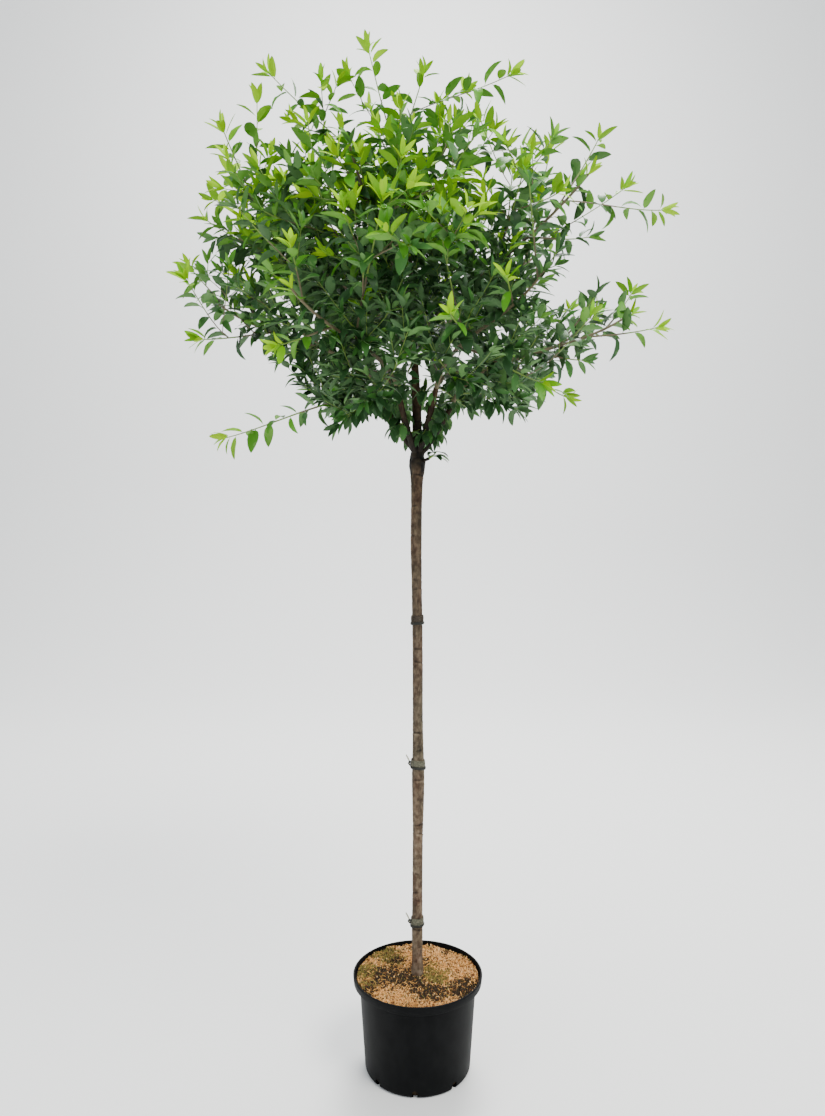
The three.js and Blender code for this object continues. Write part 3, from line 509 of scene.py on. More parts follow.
KNUCKLE_Z = 1418
LEADER_TIP_Z = 1800
UNION_Z = 1396
STEM_RADIUS = 11.7
LEADER_RADIUS = 11.8
LEADER_TIP_RADIUS = 5.5
ROOT_FLARE = 3.2
ROOT_FLARE_HEIGHT = 26
# Thicker stretches: height, how much more radius, and over what length
SWELLINGS = [(320, 0.7, 45), (668, 2.7, 75), (1230, 0.8, 90), (1370, 1.5, 60), (UNION_Z, 4.6, 27)]
# Slight bends: height, how far sideways and backwards, and over what length
BENDS = [(330, -1.2, 1.5, 130), (650, 0.9, -2, 120), (1230, -3.6, 3, 170),
         (LEADER_TIP_Z, -14, 10, 210)]


def hump(z, centre, spread):
    """A smooth hump of height 1."""
    return math.exp(-((z - centre) / spread) ** 2)


def trunk_centre(z):
    """The stem's centre at a height."""
    x = sum(bend[1] * hump(z, bend[0], bend[3]) for bend in BENDS)
    y = sum(bend[2] * hump(z, bend[0], bend[3]) for bend in BENDS)
    return np.array([x, y, z], dtype=float)


def trunk_radius(z):
    """The stem's radius at a height, without the bark's relief."""
    above = ramp_to_one(z, KNUCKLE_Z, LEADER_TIP_Z - KNUCKLE_Z)
    leader = LEADER_RADIUS + (LEADER_TIP_RADIUS - LEADER_RADIUS) * above
    flare = ROOT_FLARE * math.exp(-(z - SOIL_TOP) / ROOT_FLARE_HEIGHT)
    swelling = sum(more * hump(z, height, spread) for height, more, spread in SWELLINGS)
    return (STEM_RADIUS if z < KNUCKLE_Z else leader) + flare + swelling


print("trunk radius at the mulch and at the tip:",
      [round(trunk_radius(z), 1) for z in (SOIL_TOP, LEADER_TIP_Z)])

# %% [markdown]
# Young bark is never quite round. Leaf scars go round it as broken rings with a groove above
# each, faint ribs run along it, and lenticels stand out as small bars. The union is as lumpy
# as a knuckle. All of this is one height in mm for each point, and `bark_tube` adds it to the
# radius. It also keeps the heights on the mesh, because the colours need them later.

# %% Trunk with its relief

TRUNK_SIDES = 44
TRUNK_STEP = 2.0
# Leaf scars: how high the ridge stands, how deep the groove above it is, and its slant, in mm
SCAR_RIDGE = 1.1
SCAR_GROOVE = 0.9
SCAR_SLANT = 2.4
scar_rng = np.random.default_rng(4)
scar_heights = np.cumsum(scar_rng.uniform(12, 70, 44)) + SOIL_TOP


def bark_noise(angle, z, around, per_mm):
    """A noise on bark, by its waves round the limb and for each mm of height."""
    return noise.noise(Vector((math.cos(angle) * around, math.sin(angle) * around, z * per_mm)))


def bark_relief(z, angle, radius):
    """Height of the bark's relief in mm: broken scar rings, slight ribs and a lumpy knuckle."""
    near = scar_heights[np.argmin(np.abs(scar_heights - z))]
    scar = near + SCAR_SLANT * math.sin(angle + near)
    broken = min(1, max(0, 0.45 + 1.6 * bark_noise(angle, near, 0.9, 1)))
    proud = 0.5 + 0.5 * math.sin(near * 7)
    ring = SCAR_RIDGE * proud * hump(z, scar, 1.8) - SCAR_GROOVE * hump(z, scar + 4, 2)
    ribs = 0.5 * bark_noise(angle, z, 1.4, 0.012)
    grain = 0.6 * bark_noise(angle, z, 4, 0.11)
    lenticel = 0.9 * max(0, bark_noise(angle, z, 5, 0.45) - 0.15)
    knuckle = hump(z, UNION_Z + 12, 34)
    lumps = radius * knuckle * (0.09 * math.sin(3 * angle + 0.6) + 0.06 * math.sin(5 * angle))
    warts = 2.2 * knuckle * bark_noise(angle, z, 3.2, 0.09)
    return broken * ring + ribs + grain + lenticel + lumps + warts


def bark_tube(name, centres, radii, sides, relief_rows):
    """A closed tube with relief, from rows of centres, radii and relief heights in mm."""
    centres = np.asarray(centres, dtype=float)
    ways = unit(np.gradient(centres, axis=0))
    across = np.array([0.0, 1.0, 0.0]) if abs(ways[0][2]) > 0.7 else np.array([0.0, 0.0, 1.0])
    cosines, sines = np.cos(round_angles(sides))[:, None], np.sin(round_angles(sides))[:, None]
    sections = []
    for way, radius, relief in zip(ways, radii, relief_rows):
        across = unit(across - way * np.dot(across, way))
        over = np.cross(way, across)
        sections.append((radius + np.asarray(relief))[:, None] * (sines * across - cosines * over))
    piece = from_arrays(name, *strips(centres[None], np.array(sections)[None]))
    outward(piece)
    heights_of_points = piece.data.attributes.new("relief", "FLOAT", "POINT")
    heights_of_points.data.foreach_set("value", np.array(relief_rows, dtype=float).ravel())
    return piece


heights = np.arange(SOIL_TOP - 2, LEADER_TIP_Z, TRUNK_STEP)
radii = [trunk_radius(z) for z in heights]
relief = [[bark_relief(z, a, radius) for a in round_angles(TRUNK_SIDES)]
          for z, radius in zip(heights, radii)]
trunk = bark_tube("trunk_bark", [trunk_centre(z) for z in heights], radii, TRUNK_SIDES, relief)
print("trunk points:", len(trunk.data.vertices))

# %% [markdown]
# Thin bark is grey-brown with reddish patches, and greener where it is young. Three layers make that:
# a fine grain over broad patches, then the relief, which is kept on the mesh as an attribute, so that
# hollows get painted shade and worn proud rings stay pale, and at last a ramp by height that paints
# shade: darker upwards towards the crown, darkest in a band at the old union under the boughs, whose
# knuckle bark is dark too.

# %% Bark

# The grain is about 12 mm long and the patches 50 mm: noise waves for each metre
GRAIN = 85
PATCHES = 20
# Relief in mm for the darkest and the lightest painted shade, and the heights of the painted-shade
# ramp
RELIEF_RANGE = (-1.0, 1.4)
BARK_HEIGHTS = (0.2, 1.80)
bark = make_material("thin_grey_brown_bark", "5F5446", 0.75, 0.25)


def mix_colours(blend, share, first, second):
    """Mixes two colours of the bark, by a fixed share."""
    mixed = add_node(bark, "ShaderNodeMix", [("data_type", "RGBA"), ("blend_type", blend),
                                             (0, share)], [(6, first), (7, second)])
    return mixed.outputs[2]


def colour_ramp(value, limits, stops):
    """Colours along a value between two limits, from pairs of position and colour."""
    share = add_node(bark, "ShaderNodeMapRange",
                     [("From Min", limits[0]), ("From Max", limits[1])], [("Value", value)])
    ramp = add_node(bark, "ShaderNodeValToRGB", [], [("Fac", share.outputs["Result"])])
    elements = ramp.color_ramp.elements
    while len(elements) < len(stops):
        elements.new(0.5)
    for element, (position, colour) in zip(elements, stops):
        element.position = position
        element.color = linear(colour)
    return ramp.outputs["Color"]


grain_height, grain_tones = noise_between(bark, "463E34", "A09482", GRAIN, (1, 1, 0.8), 9)
_, patch_tones = noise_between(bark, "7C735C", "7C543E", PATCHES, (1, 1, 0.45), 5)
tones = mix_colours("MIX", 0.42, grain_tones, patch_tones)
relief_height = add_node(bark, "ShaderNodeAttribute", [("attribute_name", "relief")])
# Painted shade: the ramp darkens the hollows of the relief, and worn proud rings stay pale
hollow_shade_and_wear = colour_ramp(relief_height.outputs["Fac"], RELIEF_RANGE,
                   [(0, "4A4540"), (0.28, "A8A29A"), (0.5, "DAD6D0"), (0.8, "FFFFFF")])
place = add_node(bark, "ShaderNodeTexCoord")
parts = add_node(bark, "ShaderNodeSeparateXYZ", [], [("Vector", place.outputs["Object"])])
# Painted shade by height: lightest near the mulch, darker upwards to a dark band at the union under
# the boughs, then warmer and greener up the leader
shade_by_height = colour_ramp(parts.outputs["Z"], BARK_HEIGHTS, [
    (0, "FFFFFF"), (0.06, "F2F0EC"), (0.25, "E6E2DC"), (0.375, "DAD8D4"), (0.5, "D2CEC8"),
    (0.6, "C8C0B8"), (0.69, "C6BAAC"), (0.737, "A89C8C"), (0.748, "544F44"), (0.765, "544F44"),
    (0.79, "605C4E"), (0.8625, "AE9876"), (1, "AEAE80")])
tones = mix_colours("MULTIPLY", 1.0, mix_colours("MULTIPLY", 1.0, tones, hollow_shade_and_wear), shade_by_height)
drive_shader(bark, "Base Color", tones)
add_bump(bark, grain_height, 0.7, 0.0015)
finish_piece(trunk, [bark], "bark", "trunk", smooth=60)
print("bark nodes:", len(bark.node_tree.nodes))

# %% [markdown]
# ## The boughs
# Six boughs leave the knuckle like fingers, and a short stub with a sprout sits below them.
# Each follows the path of its CAD node and tapers to where its foliage begins. They are
# rolled from rows like the trunk, so that they share its bark.

# %% Boughs

# Each bough: azimuth and rise in degrees, length, and height of its root
BOUGHS = {
    "right": (4, 57, 150, 1412), "back_right": (62, 60, 160, 1420),
    "back_left": (124, 61, 155, 1414), "left": (178, 58, 165, 1422),
    "front_left": (238, 60, 150, 1412), "front_right": (304, 62, 158, 1419),
    "stub": (335, 14, 31, 1402),
}
RISE_LESS = 9
BOUGH_RADII = (8.2, 5.6)
STUB_RADII = (4.5, 3.15)
BOUGH_SIDES = 24
BOUGH_SCARS = 37


def direction(azimuth, elevation):
    """A way of length one, from its angles in degrees."""
    a, e = math.radians(azimuth), math.radians(elevation)
    return np.array([math.cos(e) * math.cos(a), math.cos(e) * math.sin(a), math.sin(e)])


def bough_points(name, steps):
    """Points along a bough's centre, from inside the trunk to its tip."""
    azimuth, rise, length, root_z = BOUGHS[name]
    root = trunk_centre(root_z)
    bend = root + direction(azimuth, rise - RISE_LESS) * length / 2
    tip = root + direction(azimuth, rise) * length
    t = np.linspace(0, 1, steps)[:, None]
    return (1 - t) ** 2 * root + 2 * t * (1 - t) * bend + t ** 2 * tip


for name in BOUGHS:
    rows = 12 if name == "stub" else 70
    start, end = STUB_RADII if name == "stub" else BOUGH_RADII
    share = np.linspace(0, 1, rows)
    offset = len(name) * 7.3
    relief = [[0.7 * bark_noise(a, offset + s * 9, 2, 1)
               + 0.5 * hump((s * 150 + offset) % BOUGH_SCARS, 18, 1.6)
               for a in round_angles(BOUGH_SIDES)] for s in share]
    bough = bark_tube("bough_bark_" + name, bough_points(name, rows),
                      start + (end - start) * share ** 0.7, BOUGH_SIDES, relief)
    finish_piece(bough, [bark], "bark", "bough_" + name, smooth=60)
print("boughs:", len(BOUGHS))

# %% [markdown]
# ## How the crown grows
# The CAD crown grew by a seeded rule, and the same rule is written again here. A shoot
# starts from the grown limb that reaches its tip with the least length and the least turn,
# and as straight away from the hub as it can. It bends a little and rises to its tip. The
# first round grows the main stems, the second the long shoots and the twigs of the CAD
# masses, and two more rounds add finer twigs inside the same reach, which is what makes the
# crown look like thousands of leaves. First come the crown's outline and its parts.

# %% Crown outline

HUB = np.array([0, 0, 1420.0])
UP = np.array([0, 0, 1.0])
LEAF_STEP = 125
REACH_LEVEL = 450
REACH_RISE = 400
SKIRT_ANGLE = 17
SKIRT_SOFTNESS = 6
SHOULDER_DROP = 0.14
# Each mass: its level, the middle and width of its wedge, its main stem's azimuth, elevation
# and reach, where that stem starts, and a number that shifts its random places
MASSES = [
    ("lower", 0, 60, (-4, 33, 690), "right", 11),
    ("lower", 60, 60, (58, 34, 640), "back_right", 12),
    ("lower", 120, 60, (122, 35, 650), "back_left", 13),
    ("lower", 180, 60, (176, 37, 700), "left", 14),
    ("lower", 240, 60, (236, 33, 630), "front_left", 15),
    ("lower", 300, 60, (302, 35, 650), "front_right", 16),
    ("upper", 36, 72, (30, 55, 800), 1645, 17), ("upper", 108, 72, (106, 57, 790), 1690, 18),
    ("upper", 180, 72, (182, 56, 830), 1655, 19), ("upper", 252, 72, (250, 55, 780), 1700, 20),
    ("upper", 324, 72, (330, 54, 800), 1665, 21), ("top", 0, 360, (140, 84, 870), None, 22),
]
SPANS = {"lower": (16, 44), "upper": (40, 66), "top": (60, 88)}
# The levels are parted by two cones: height on the axis, and rise for each mm outwards
LOW_CONE = (1590, 0.62)
HIGH_CONE = (1775, 1.35)
CROWN_FOOT = 1440
# The long shoots that stand out of the crown: azimuth, elevation and reach from the hub
LONG_SHOOTS = [
    (176, 5, 470), (186, 27, 565), (171, 39.5, 727), (196, 35, 640), (168, 56, 830),
    (196, 57.5, 818), (182, 68.5, 920), (158, 82.5, 950), (20, 89, 865), (20, 82, 855),
    (340, 75, 850), (14, 66, 800), (350, 59.5, 830), (2, 52, 805), (356, 44.5, 801),
    (10, 37, 690), (352, 27, 635), (8, 21, 420), (262, 41, 700), (88, 43, 720), (300, 52, 720),
    (70, 60, 830), (228, 24, 520), (318, 20, 430), (118, 22, 500),
]


def crown_reach(elevation, azimuth):
    """How far the crown goes out from the hub, in mm. It is cut off below by a soft skirt,
    and its shoulders in front and behind are lower than those at the sides."""
    skirt = 1 / (1 + math.exp(-(elevation - SKIRT_ANGLE) / SKIRT_SOFTNESS))
    high = ramp_to_one(elevation, 35, 30)
    deep = min(1, 1.6 * math.sin(math.radians(azimuth)) ** 2)
    even = REACH_LEVEL + REACH_RISE * math.sin(math.radians(max(elevation, 0)))
    return even * skirt * (1 - SHOULDER_DROP * high * deep)


def in_space(point, mass):
    """True where a point is in the mass's own level and wedge of the crown."""
    level, azimuth, width = mass[:3]
    out = math.hypot(point[0], point[1])
    over_low, over_high = (point[2] - z - rise * out for z, rise in (LOW_CONE, HIGH_CONE))
    if level == "lower" and over_low > 0 or level == "upper" and (over_low < 0 or over_high > 0):
        return False
    if level == "top" and over_high < 0:
        return False
    turn = math.atan2(point[1], point[0]) - math.radians(azimuth)
    off = abs(math.atan2(math.sin(turn), math.cos(turn)))
    return point[2] > CROWN_FOOT and (width == 360 or off < math.radians(width / 2))


print("masses:", len(MASSES), "long shoots:", len(LONG_SHOOTS))

# %% [markdown]
# Now the tips that the shoots grow to. Even numbers would look planted and random ones
# would clump, so each new tip adds three fixed fractions to the last one's place, which
# spreads them evenly with no pattern. Tips in the places that are open to the sky are
# left out.

# %% Tips of shoots

# Three fractions for azimuth, elevation and reach, each with the mass's own shift
SPREAD_STEPS = [(0.7548776662, 0.13), (0.5698402909, 0.29), (0.3819660113, 0.41)]
MOST_TRIES = 4000
# Side shoots near a long shoot's end: turn and rise in degrees, and share of its reach
SIDES = [(7, -5, 0.88), (-6, 3, 0.84), (4, 6, 0.76)]
RIGHT_SIDES = [(5, 3, 0.82), (-6, 1, 0.76), (1, -3, 0.68)]
LEFT_SIDES = [(0, 3, 0.93), (-6, 3, 0.84), (4, 6, 0.76), (9, 3, 0.82), (-11, 3, 0.74), (-2, 8, 0.86)]
STEEP_SIDES = SIDES + [(10, -8, 0.87), (-9, -6, 0.85), (3, -3, 0.92)]
# Below the skirt nothing fine grows: its level in mm, and how far out it starts to rise, all
# round and once more at the left. The left shoulder is open from one level up, over a length.
SKIRT_LEVEL = 1458
SKIRT_STARTS = 165
LEFT_SKIRT_STARTS = 340
LEFT_SHOULDER = (2000, 100)


def is_open(tip, share):
    """True where the crown stays open for a fine twig: below the skirt, which rises
    outwards, in the outer part of the right side, and at the left shoulder."""
    out = math.hypot(tip[0], tip[1])
    right, left = max(0, tip[0]) / max(out, 1), max(0, -tip[0]) / max(out, 1)
    skirt = (SKIRT_LEVEL + (0.85 + 0.2 * left) * max(0, out - SKIRT_STARTS)
             + 0.8 * left * max(0, out - LEFT_SKIRT_STARTS))
    shoulder = ramp_to_one(tip[2], *LEFT_SHOULDER)
    return tip[2] < skirt or share > 1 - 0.36 * right - 0.18 * left * shoulder


def spread_tips(mass, count, near, far, back, shift=0.0):
    """Tips spread evenly through a mass's space, between two shares of the reach.
    Shifted rows are the fine twigs, which leave the open places alone."""
    low, high = SPANS[mass[0]]
    tips, made = [], 0
    for i in range(1, MOST_TRIES):
        u, v, w = ((i * step + mass[5] * own + shift) % 1 for step, own in SPREAD_STEPS)
        elevation = low + (high - low) * v
        azimuth = mass[1] + (u - 0.5) * mass[2]
        share = near + (far - near) * w
        tip = HUB + direction(azimuth, elevation) * (crown_reach(elevation, azimuth) * share - back)
        if in_space(tip, mass):
            made += 1
            if not (is_open(tip, share) if shift else is_open(tip + 20 * UP, 0.75 * share)):
                tips.append(tip)
        if made == count:
            break
    return sorted(tips, key=lambda tip: np.linalg.norm(tip - HUB))


def long_tip(azimuth, elevation, reach):
    """Where a long shoot's wood ends. Its tip leaves then come to about its full reach."""
    back = 36 + 55 * abs(math.sin(math.radians(azimuth)))
    if elevation > 60:
        back = 12
    elif math.cos(math.radians(azimuth)) < -0.9:
        back = 20
    return HUB + direction(azimuth, elevation) * (reach - back)


def side_tips(mass):
    """Tips of side shoots near the ends of the long shoots: most on the left side and on the
    top, a few low down on the right, and none on the open upper right."""
    tips = []
    for azimuth, elevation, reach in LONG_SHOOTS:
        rightward = math.cos(math.radians(azimuth))
        if elevation < 30 or rightward > 0.5 and 40 < elevation < 62:
            continue
        sides = STEEP_SIDES if elevation > 75 else SIDES
        if rightward > 0.5 and elevation < 62:
            sides = RIGHT_SIDES
        elif rightward < -0.9 and elevation < 50:
            sides = LEFT_SIDES
        for turn, rise, share in sides:
            wide = turn / max(math.cos(math.radians(min(elevation, 78))), 0.25)
            tips.append(HUB + direction(azimuth + wide, elevation + rise) * (reach * share))
    return [tip for tip in tips if in_space(tip, mass)]


print("side shoots:", sum(len(side_tips(mass)) for mass in MASSES))

# %% [markdown]
# A shoot is a smooth curve that leaves its limb in the limb's own way and sags a little
# before it rises to its tip. `Shoots` keeps what has grown in one mass, and finds for each
# new tip the best place to start from. A place that a shoot has left stays free of others
# for some way round it.

# %% Growing the shoots

TURN_COST = 1.1
DETOUR_COST = 1.5
MOST_LEAN = 0.75
SHOOT_STEP = 18
THINNER = 0.78


def arc(start, way, tip, steps, sag=0.07):
    """A shoot's line: it leaves in its first way, then bends and rises to its tip."""
    span = np.linalg.norm(tip - start)
    first = start + way * span * 0.3
    second = start + (tip - start) * 0.66 - np.array([0, 0, span * sag])
    t = np.linspace(0, 1, steps)[:, None]
    return ((1 - t) ** 3 * start + 3 * t * (1 - t) ** 2 * first
            + 3 * t ** 2 * (1 - t) * second + t ** 3 * tip)


def stem_line(mass, steps):
    """The main stem of a mass, from its bough's tip or from the leader."""
    azimuth, elevation, reach = mass[3]
    tip = HUB + direction(azimuth, elevation) * (reach - LEAF_STEP)
    if mass[0] == "lower":
        path = bough_points(mass[4], 40)
        return arc(path[-1], unit(path[-1] - path[-2]), tip, steps)
    if mass[0] == "upper":
        return arc(trunk_centre(mass[4]), direction(mass[1], 48), tip, steps)
    return arc(trunk_centre(LEADER_TIP_Z), UP, tip, steps)


class Shoots:
    """The grown limbs of one mass, with the nodes that new shoots can start from."""

    def __init__(self):
        self.lines, self.radii, self.order = [], [], []
        self.points = np.zeros((0, 3))
        self.ways = np.zeros((0, 3))
        self.thick = np.zeros(0)
        self.free = np.zeros(0, dtype=bool)

    def add(self, line, start_radius, tip_radius, order):
        """Keeps a limb. All its points but the ends can bear new shoots."""
        radii = np.linspace(start_radius, tip_radius, len(line))
        self.lines.append(line)
        self.radii.append(radii)
        self.order.append(order)
        ways = unit(np.gradient(line, axis=0))
        self.points = np.vstack([self.points, line[1:-1]])
        self.ways = np.vstack([self.ways, ways[1:-1]])
        self.thick = np.concatenate([self.thick, radii[1:-1]])
        self.free = np.concatenate([self.free, np.ones(len(line) - 2, dtype=bool)])

    def reach(self, tip, shortest, longest, order, room, thickest, thinnest, sag):
        """Grows a shoot to a tip from the best free point, if there is one."""
        away = tip - self.points
        span = np.linalg.norm(away, axis=1)
        far = np.linalg.norm(tip - HUB)
        turn = np.sum(away * self.ways, axis=1) / np.maximum(span, 1e-6)
        inside = np.linalg.norm(self.points - HUB, axis=1) < far - shortest / 2
        good = inside & self.free & (turn > 0.3) & (span > shortest) & (span < longest)
        if not good.any():
            return
        outward_way = (away @ (tip - HUB)) / np.maximum(span * far, 1e-6)
        cost = span * (1 + TURN_COST * (1 - turn) + DETOUR_COST * (1 - outward_way))
        best = int(np.argmin(np.where(good, cost, np.inf)))
        start, way = self.points[best], self.ways[best]
        side = (tip - start) - way * np.dot(tip - start, way)
        lean = min(MOST_LEAN, 1.4 * math.acos(min(1, turn[best])))
        leave = way * math.cos(lean) + unit(side) * math.sin(lean)
        steps = max(6, int(span[best] / SHOOT_STEP))
        radius = min(thickest, self.thick[best] * THINNER)
        self.free &= np.linalg.norm(self.points - start, axis=1) > room
        self.add(arc(start, leave, tip, steps, sag), radius, thinnest, order)


# %% [markdown]
# Each mass grows in rounds, from thick to fine. The right side of the crown is thinner in
# fine twigs, as on the real tree, and the shoots reach a little less far to the back and
# the left. The lowest long shoot of all leaves the left bough by itself.

# %% Crown

# Rounds of growth: shortest and longest shoot, order, room round its start, radius at its
# root and its tip, and sag as a share of its length
LONG_GROWTH = (90, 560, "long", 22, 3.2, 1.1, 0.04)
FIRST_GROWTH = (90, 520, 1, 20, 3.2, 1.1, 0.07)
SIDE_GROWTH = (60, 300, 1, 16, 2.2, 0.9, 0.05)
SECOND_GROWTH = (55, 320, 2, 11, 2.0, 0.8, 0.06)
THIRD_GROWTH = (40, 220, 3, 7, 1.5, 0.7, 0.05)
SECOND_TWIGS = 44
THIRD_TWIGS = 56
STEM_STEPS = 24

crown = []
for mass in MASSES:
    top = mass[0] == "top"
    rightward, backward = (0, 0) if top else direction(mass[1], 0)[:2]
    first_twigs, farthest = (21, 1.09) if top else (17, 1.06)
    farthest += 0.08 * min(0, rightward) - 0.06 * max(0, backward)
    fill = 1 - 0.32 * max(0, rightward)
    shoots = Shoots()
    shoots.add(stem_line(mass, STEM_STEPS), 5.2, 2.4, 0)
    long_tips = [long_tip(*row) for row in LONG_SHOOTS if row[1] > 10]
    for tip in long_tips:
        if in_space(tip, mass):
            shoots.reach(tip, *LONG_GROWTH)
    if mass[4] == "left":
        low_start = bough_points("left", 40)[34]
        low_tip = long_tip(*LONG_SHOOTS[0])
        shoots.add(arc(low_start, direction(176, 12), low_tip, STEM_STEPS, 0), 3, 1.1, "long")
    rounds = [
        (spread_tips(mass, first_twigs, 0.80, farthest, 34), FIRST_GROWTH),
        (side_tips(mass), SIDE_GROWTH),
        (spread_tips(mass, int(SECOND_TWIGS * fill), 0.46, 1.0, 25, 0.37), SECOND_GROWTH),
        (spread_tips(mass, int(THIRD_TWIGS * fill), 0.24, 0.84, 10, 0.71), THIRD_GROWTH),
    ]
    for tips, growth in rounds:
        for tip in tips:
            shoots.reach(tip, *growth)
    crown.append(shoots)
lines = [line for shoots in crown for line in shoots.lines]
print("shoots:", len(lines), "metres:", round(sum(
    np.linalg.norm(np.diff(line, axis=0), axis=1).sum() for line in lines) / 1000, 1))

# %% [markdown]
# ## Twigs
# Every shoot gets a slim tube. Older wood is brown and young wood is green, so the tubes are
# joined as two pieces. A main stem is brown all along, a long shoot or a first twig turns
# green half way, and a fine twig is green from its root. Short twiglets on the boughs, the
# leader and the stub fill the inside of the crown.

# %% Twigs

FOLIAGE = [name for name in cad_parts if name.startswith("foliage_")]
TWIGLET_STEPS = 8
GOLDEN_TURN = 137.5


def tube_arrays(line, radii, sides):
    """Points and faces of one plain tube."""
    ways = unit(np.gradient(line, axis=0))
    helper = np.array([0.0, 0.0, 1.0]) if abs(ways[0][2]) < 0.8 else np.array([0.0, 1.0, 0.0])
    angles = round_angles(sides)
    across = unit(helper - ways * (ways @ helper)[:, None])
    over = np.cross(ways, across)
    sections = radii[:, None, None] * (np.cos(angles)[None, :, None] * across[:, None]
                                       + np.sin(angles)[None, :, None] * over[:, None])
    return strips(line[None], sections[None])


def join_tubes(name, rows, sides):
    """One piece from many tubes, by rows of line and radii."""
    points, faces, count = [], [], 0
    for line, radii in rows:
        some_points, some_faces = tube_arrays(line, radii, sides)
        points.append(some_points)
        faces += [tuple(int(c) + count for c in face) for face in some_faces]
        count += len(some_points)
    piece = from_arrays(name, np.vstack(points), faces)
    outward(piece)
    return piece


wood_rows, green_rows = [], []
for shoots in crown:
    for line, radii, order in zip(shoots.lines, shoots.radii, shoots.order):
        ripe = {0: len(line) - 1, "long": len(line) // 2, 1: len(line) // 2}.get(order, 0)
        if ripe > 0:
            wood_rows.append((line[:ripe + 1], radii[:ripe + 1]))
        if ripe < len(line) - 1:
            green_rows.append((line[ripe:], radii[ripe:]))
stub_end = bough_points("stub", 10)
sprout_way = unit(stub_end[-1] - stub_end[-2])
sprout_tip = stub_end[-1] + np.array([18, -9, 16])
sprout_line = arc(stub_end[-1], sprout_way, sprout_tip, TWIGLET_STEPS)
green_rows.append((sprout_line, np.linspace(2.6, 1, TWIGLET_STEPS)))
twiglet_rng = np.random.default_rng(31)
twiglets = [sprout_line]
for name in ("right", "front_right", "left", "front_left", "back_right", "back_left"):
    path = bough_points(name, 40)
    for start, way in zip(path[16::7], unit(np.gradient(path, axis=0))[16::7]):
        out = unit(np.cross(way, unit(twiglet_rng.normal(0, 1, 3))))
        tip = start + out * twiglet_rng.uniform(24, 40) + UP * twiglet_rng.uniform(-14, 4)
        twiglets.append(arc(start, unit(out + 0.5 * way), tip, TWIGLET_STEPS))
for z in range(1625, 1790, 8):
    start = trunk_centre(z)
    way = direction(z * GOLDEN_TURN, 28)
    twiglets.append(arc(start, way, start + way * twiglet_rng.uniform(60, 130), TWIGLET_STEPS))
green_rows += [(line, np.linspace(1.7, 0.8, TWIGLET_STEPS)) for line in twiglets[1:]]
# Young wood is brown with a faint shine, and this year's shoots are a smooth waxy green
twig_wood = make_material("young_brown_twig", "6B6248", 0.6, 0.4)
twig_green = make_material("green_shoot", "6E8A34", 0.5, 0.45)
finish_piece(join_tubes("twigs_brown", wood_rows, 7), [twig_wood], "foliage", *FOLIAGE)
finish_piece(join_tubes("twigs_green", green_rows, 5), [twig_green], "foliage", *FOLIAGE)
print("twig tubes:", len(wood_rows), len(green_rows))

# %% [markdown]
# ## Leaves
# The leaves are narrow ovals that end in a point, about 50 mm long and 20 mm wide. They are
# folded a little along the midrib and arch downwards. A leaf could be one bent plane, but a
# plane has no underside, so each one is a closed thin body of few faces: a smooth upper side
# and a duller, greyer lower side, so two materials go on it.

# %% Leaf shape

# The outline: rows along the leaf, and half its width there as a share. The first is the stalk.
LEAF_ROWS = np.array([0.0, 0.09, 0.17, 0.34, 0.56, 0.78, 0.92, 1.0])
LEAF_HALF = np.array([0.05, 0.07, 0.58, 0.95, 1.0, 0.72, 0.36, 0.0])
LEAF_WAVE = 0.06
LEAF_THICKNESS = 0.5


def leaf_arrays(base, along, normal, length, width, droop, fold):
    """Closed leaves from rows of arrays. Returns points, upper faces and lower faces."""
    count = len(base)
    along = unit(along)
    normal = unit(normal - along * np.sum(normal * along, axis=1, keepdims=True))
    across = np.cross(normal, along)
    u = LEAF_ROWS[None, :]
    bend = droop[:, None] * u
    forward = length[:, None] * (u - bend ** 2 * u / 6)
    down = length[:, None] * bend * u / 2
    middle = (base[:, None] + along[:, None] * forward[..., None]
              - normal[:, None] * down[..., None])
    half = width[:, None] / 2 * LEAF_HALF[None, :]
    wave = LEAF_WAVE * np.sin(u * 9 + length[:, None])
    lift = half * (np.sin(fold)[:, None] + wave)
    flat = half * np.cos(fold)[:, None]
    left = middle + across[:, None] * flat[..., None] + normal[:, None] * lift[..., None]
    right = middle - across[:, None] * flat[..., None] + normal[:, None] * lift[..., None]
    thick = LEAF_THICKNESS * np.sin(u * math.pi * 0.94 + 0.1)
    under = middle - normal[:, None] * thick[..., None]
    # Each row has four points: left edge, midrib, right edge and underside. The tip has one
    last = len(LEAF_ROWS) - 1
    rows = []
    for k in range(last):
        rows += [left[:, k], middle[:, k], right[:, k], under[:, k]]
    rows.append(middle[:, last])
    points = np.stack(rows, axis=1)
    upper, lower = [], []
    for k in range(last - 1):
        a, b = 4 * k, 4 * k + 4
        upper += [(a, b, b + 1, a + 1), (a + 1, b + 1, b + 2, a + 2)]
        lower += [(a + 3, b + 3, b, a), (a + 2, b + 2, b + 3, a + 3)]
    a, tip = 4 * (last - 1), 4 * last
    upper += [(a, tip, a + 1), (a + 1, tip, a + 2)]
    lower += [(a + 3, tip, a), (a + 2, tip, a + 3), (0, 1, 2, 3)]
    shift = (np.arange(count) * points.shape[1]).tolist()
    uppers = [tuple(c + s for c in face) for s in shift for face in upper]
    lowers = [tuple(c + s for c in face) for s in shift for face in lower]
    return points.reshape(-1, 3), uppers, lowers


print("points of a leaf:", 4 * len(LEAF_ROWS) - 3)

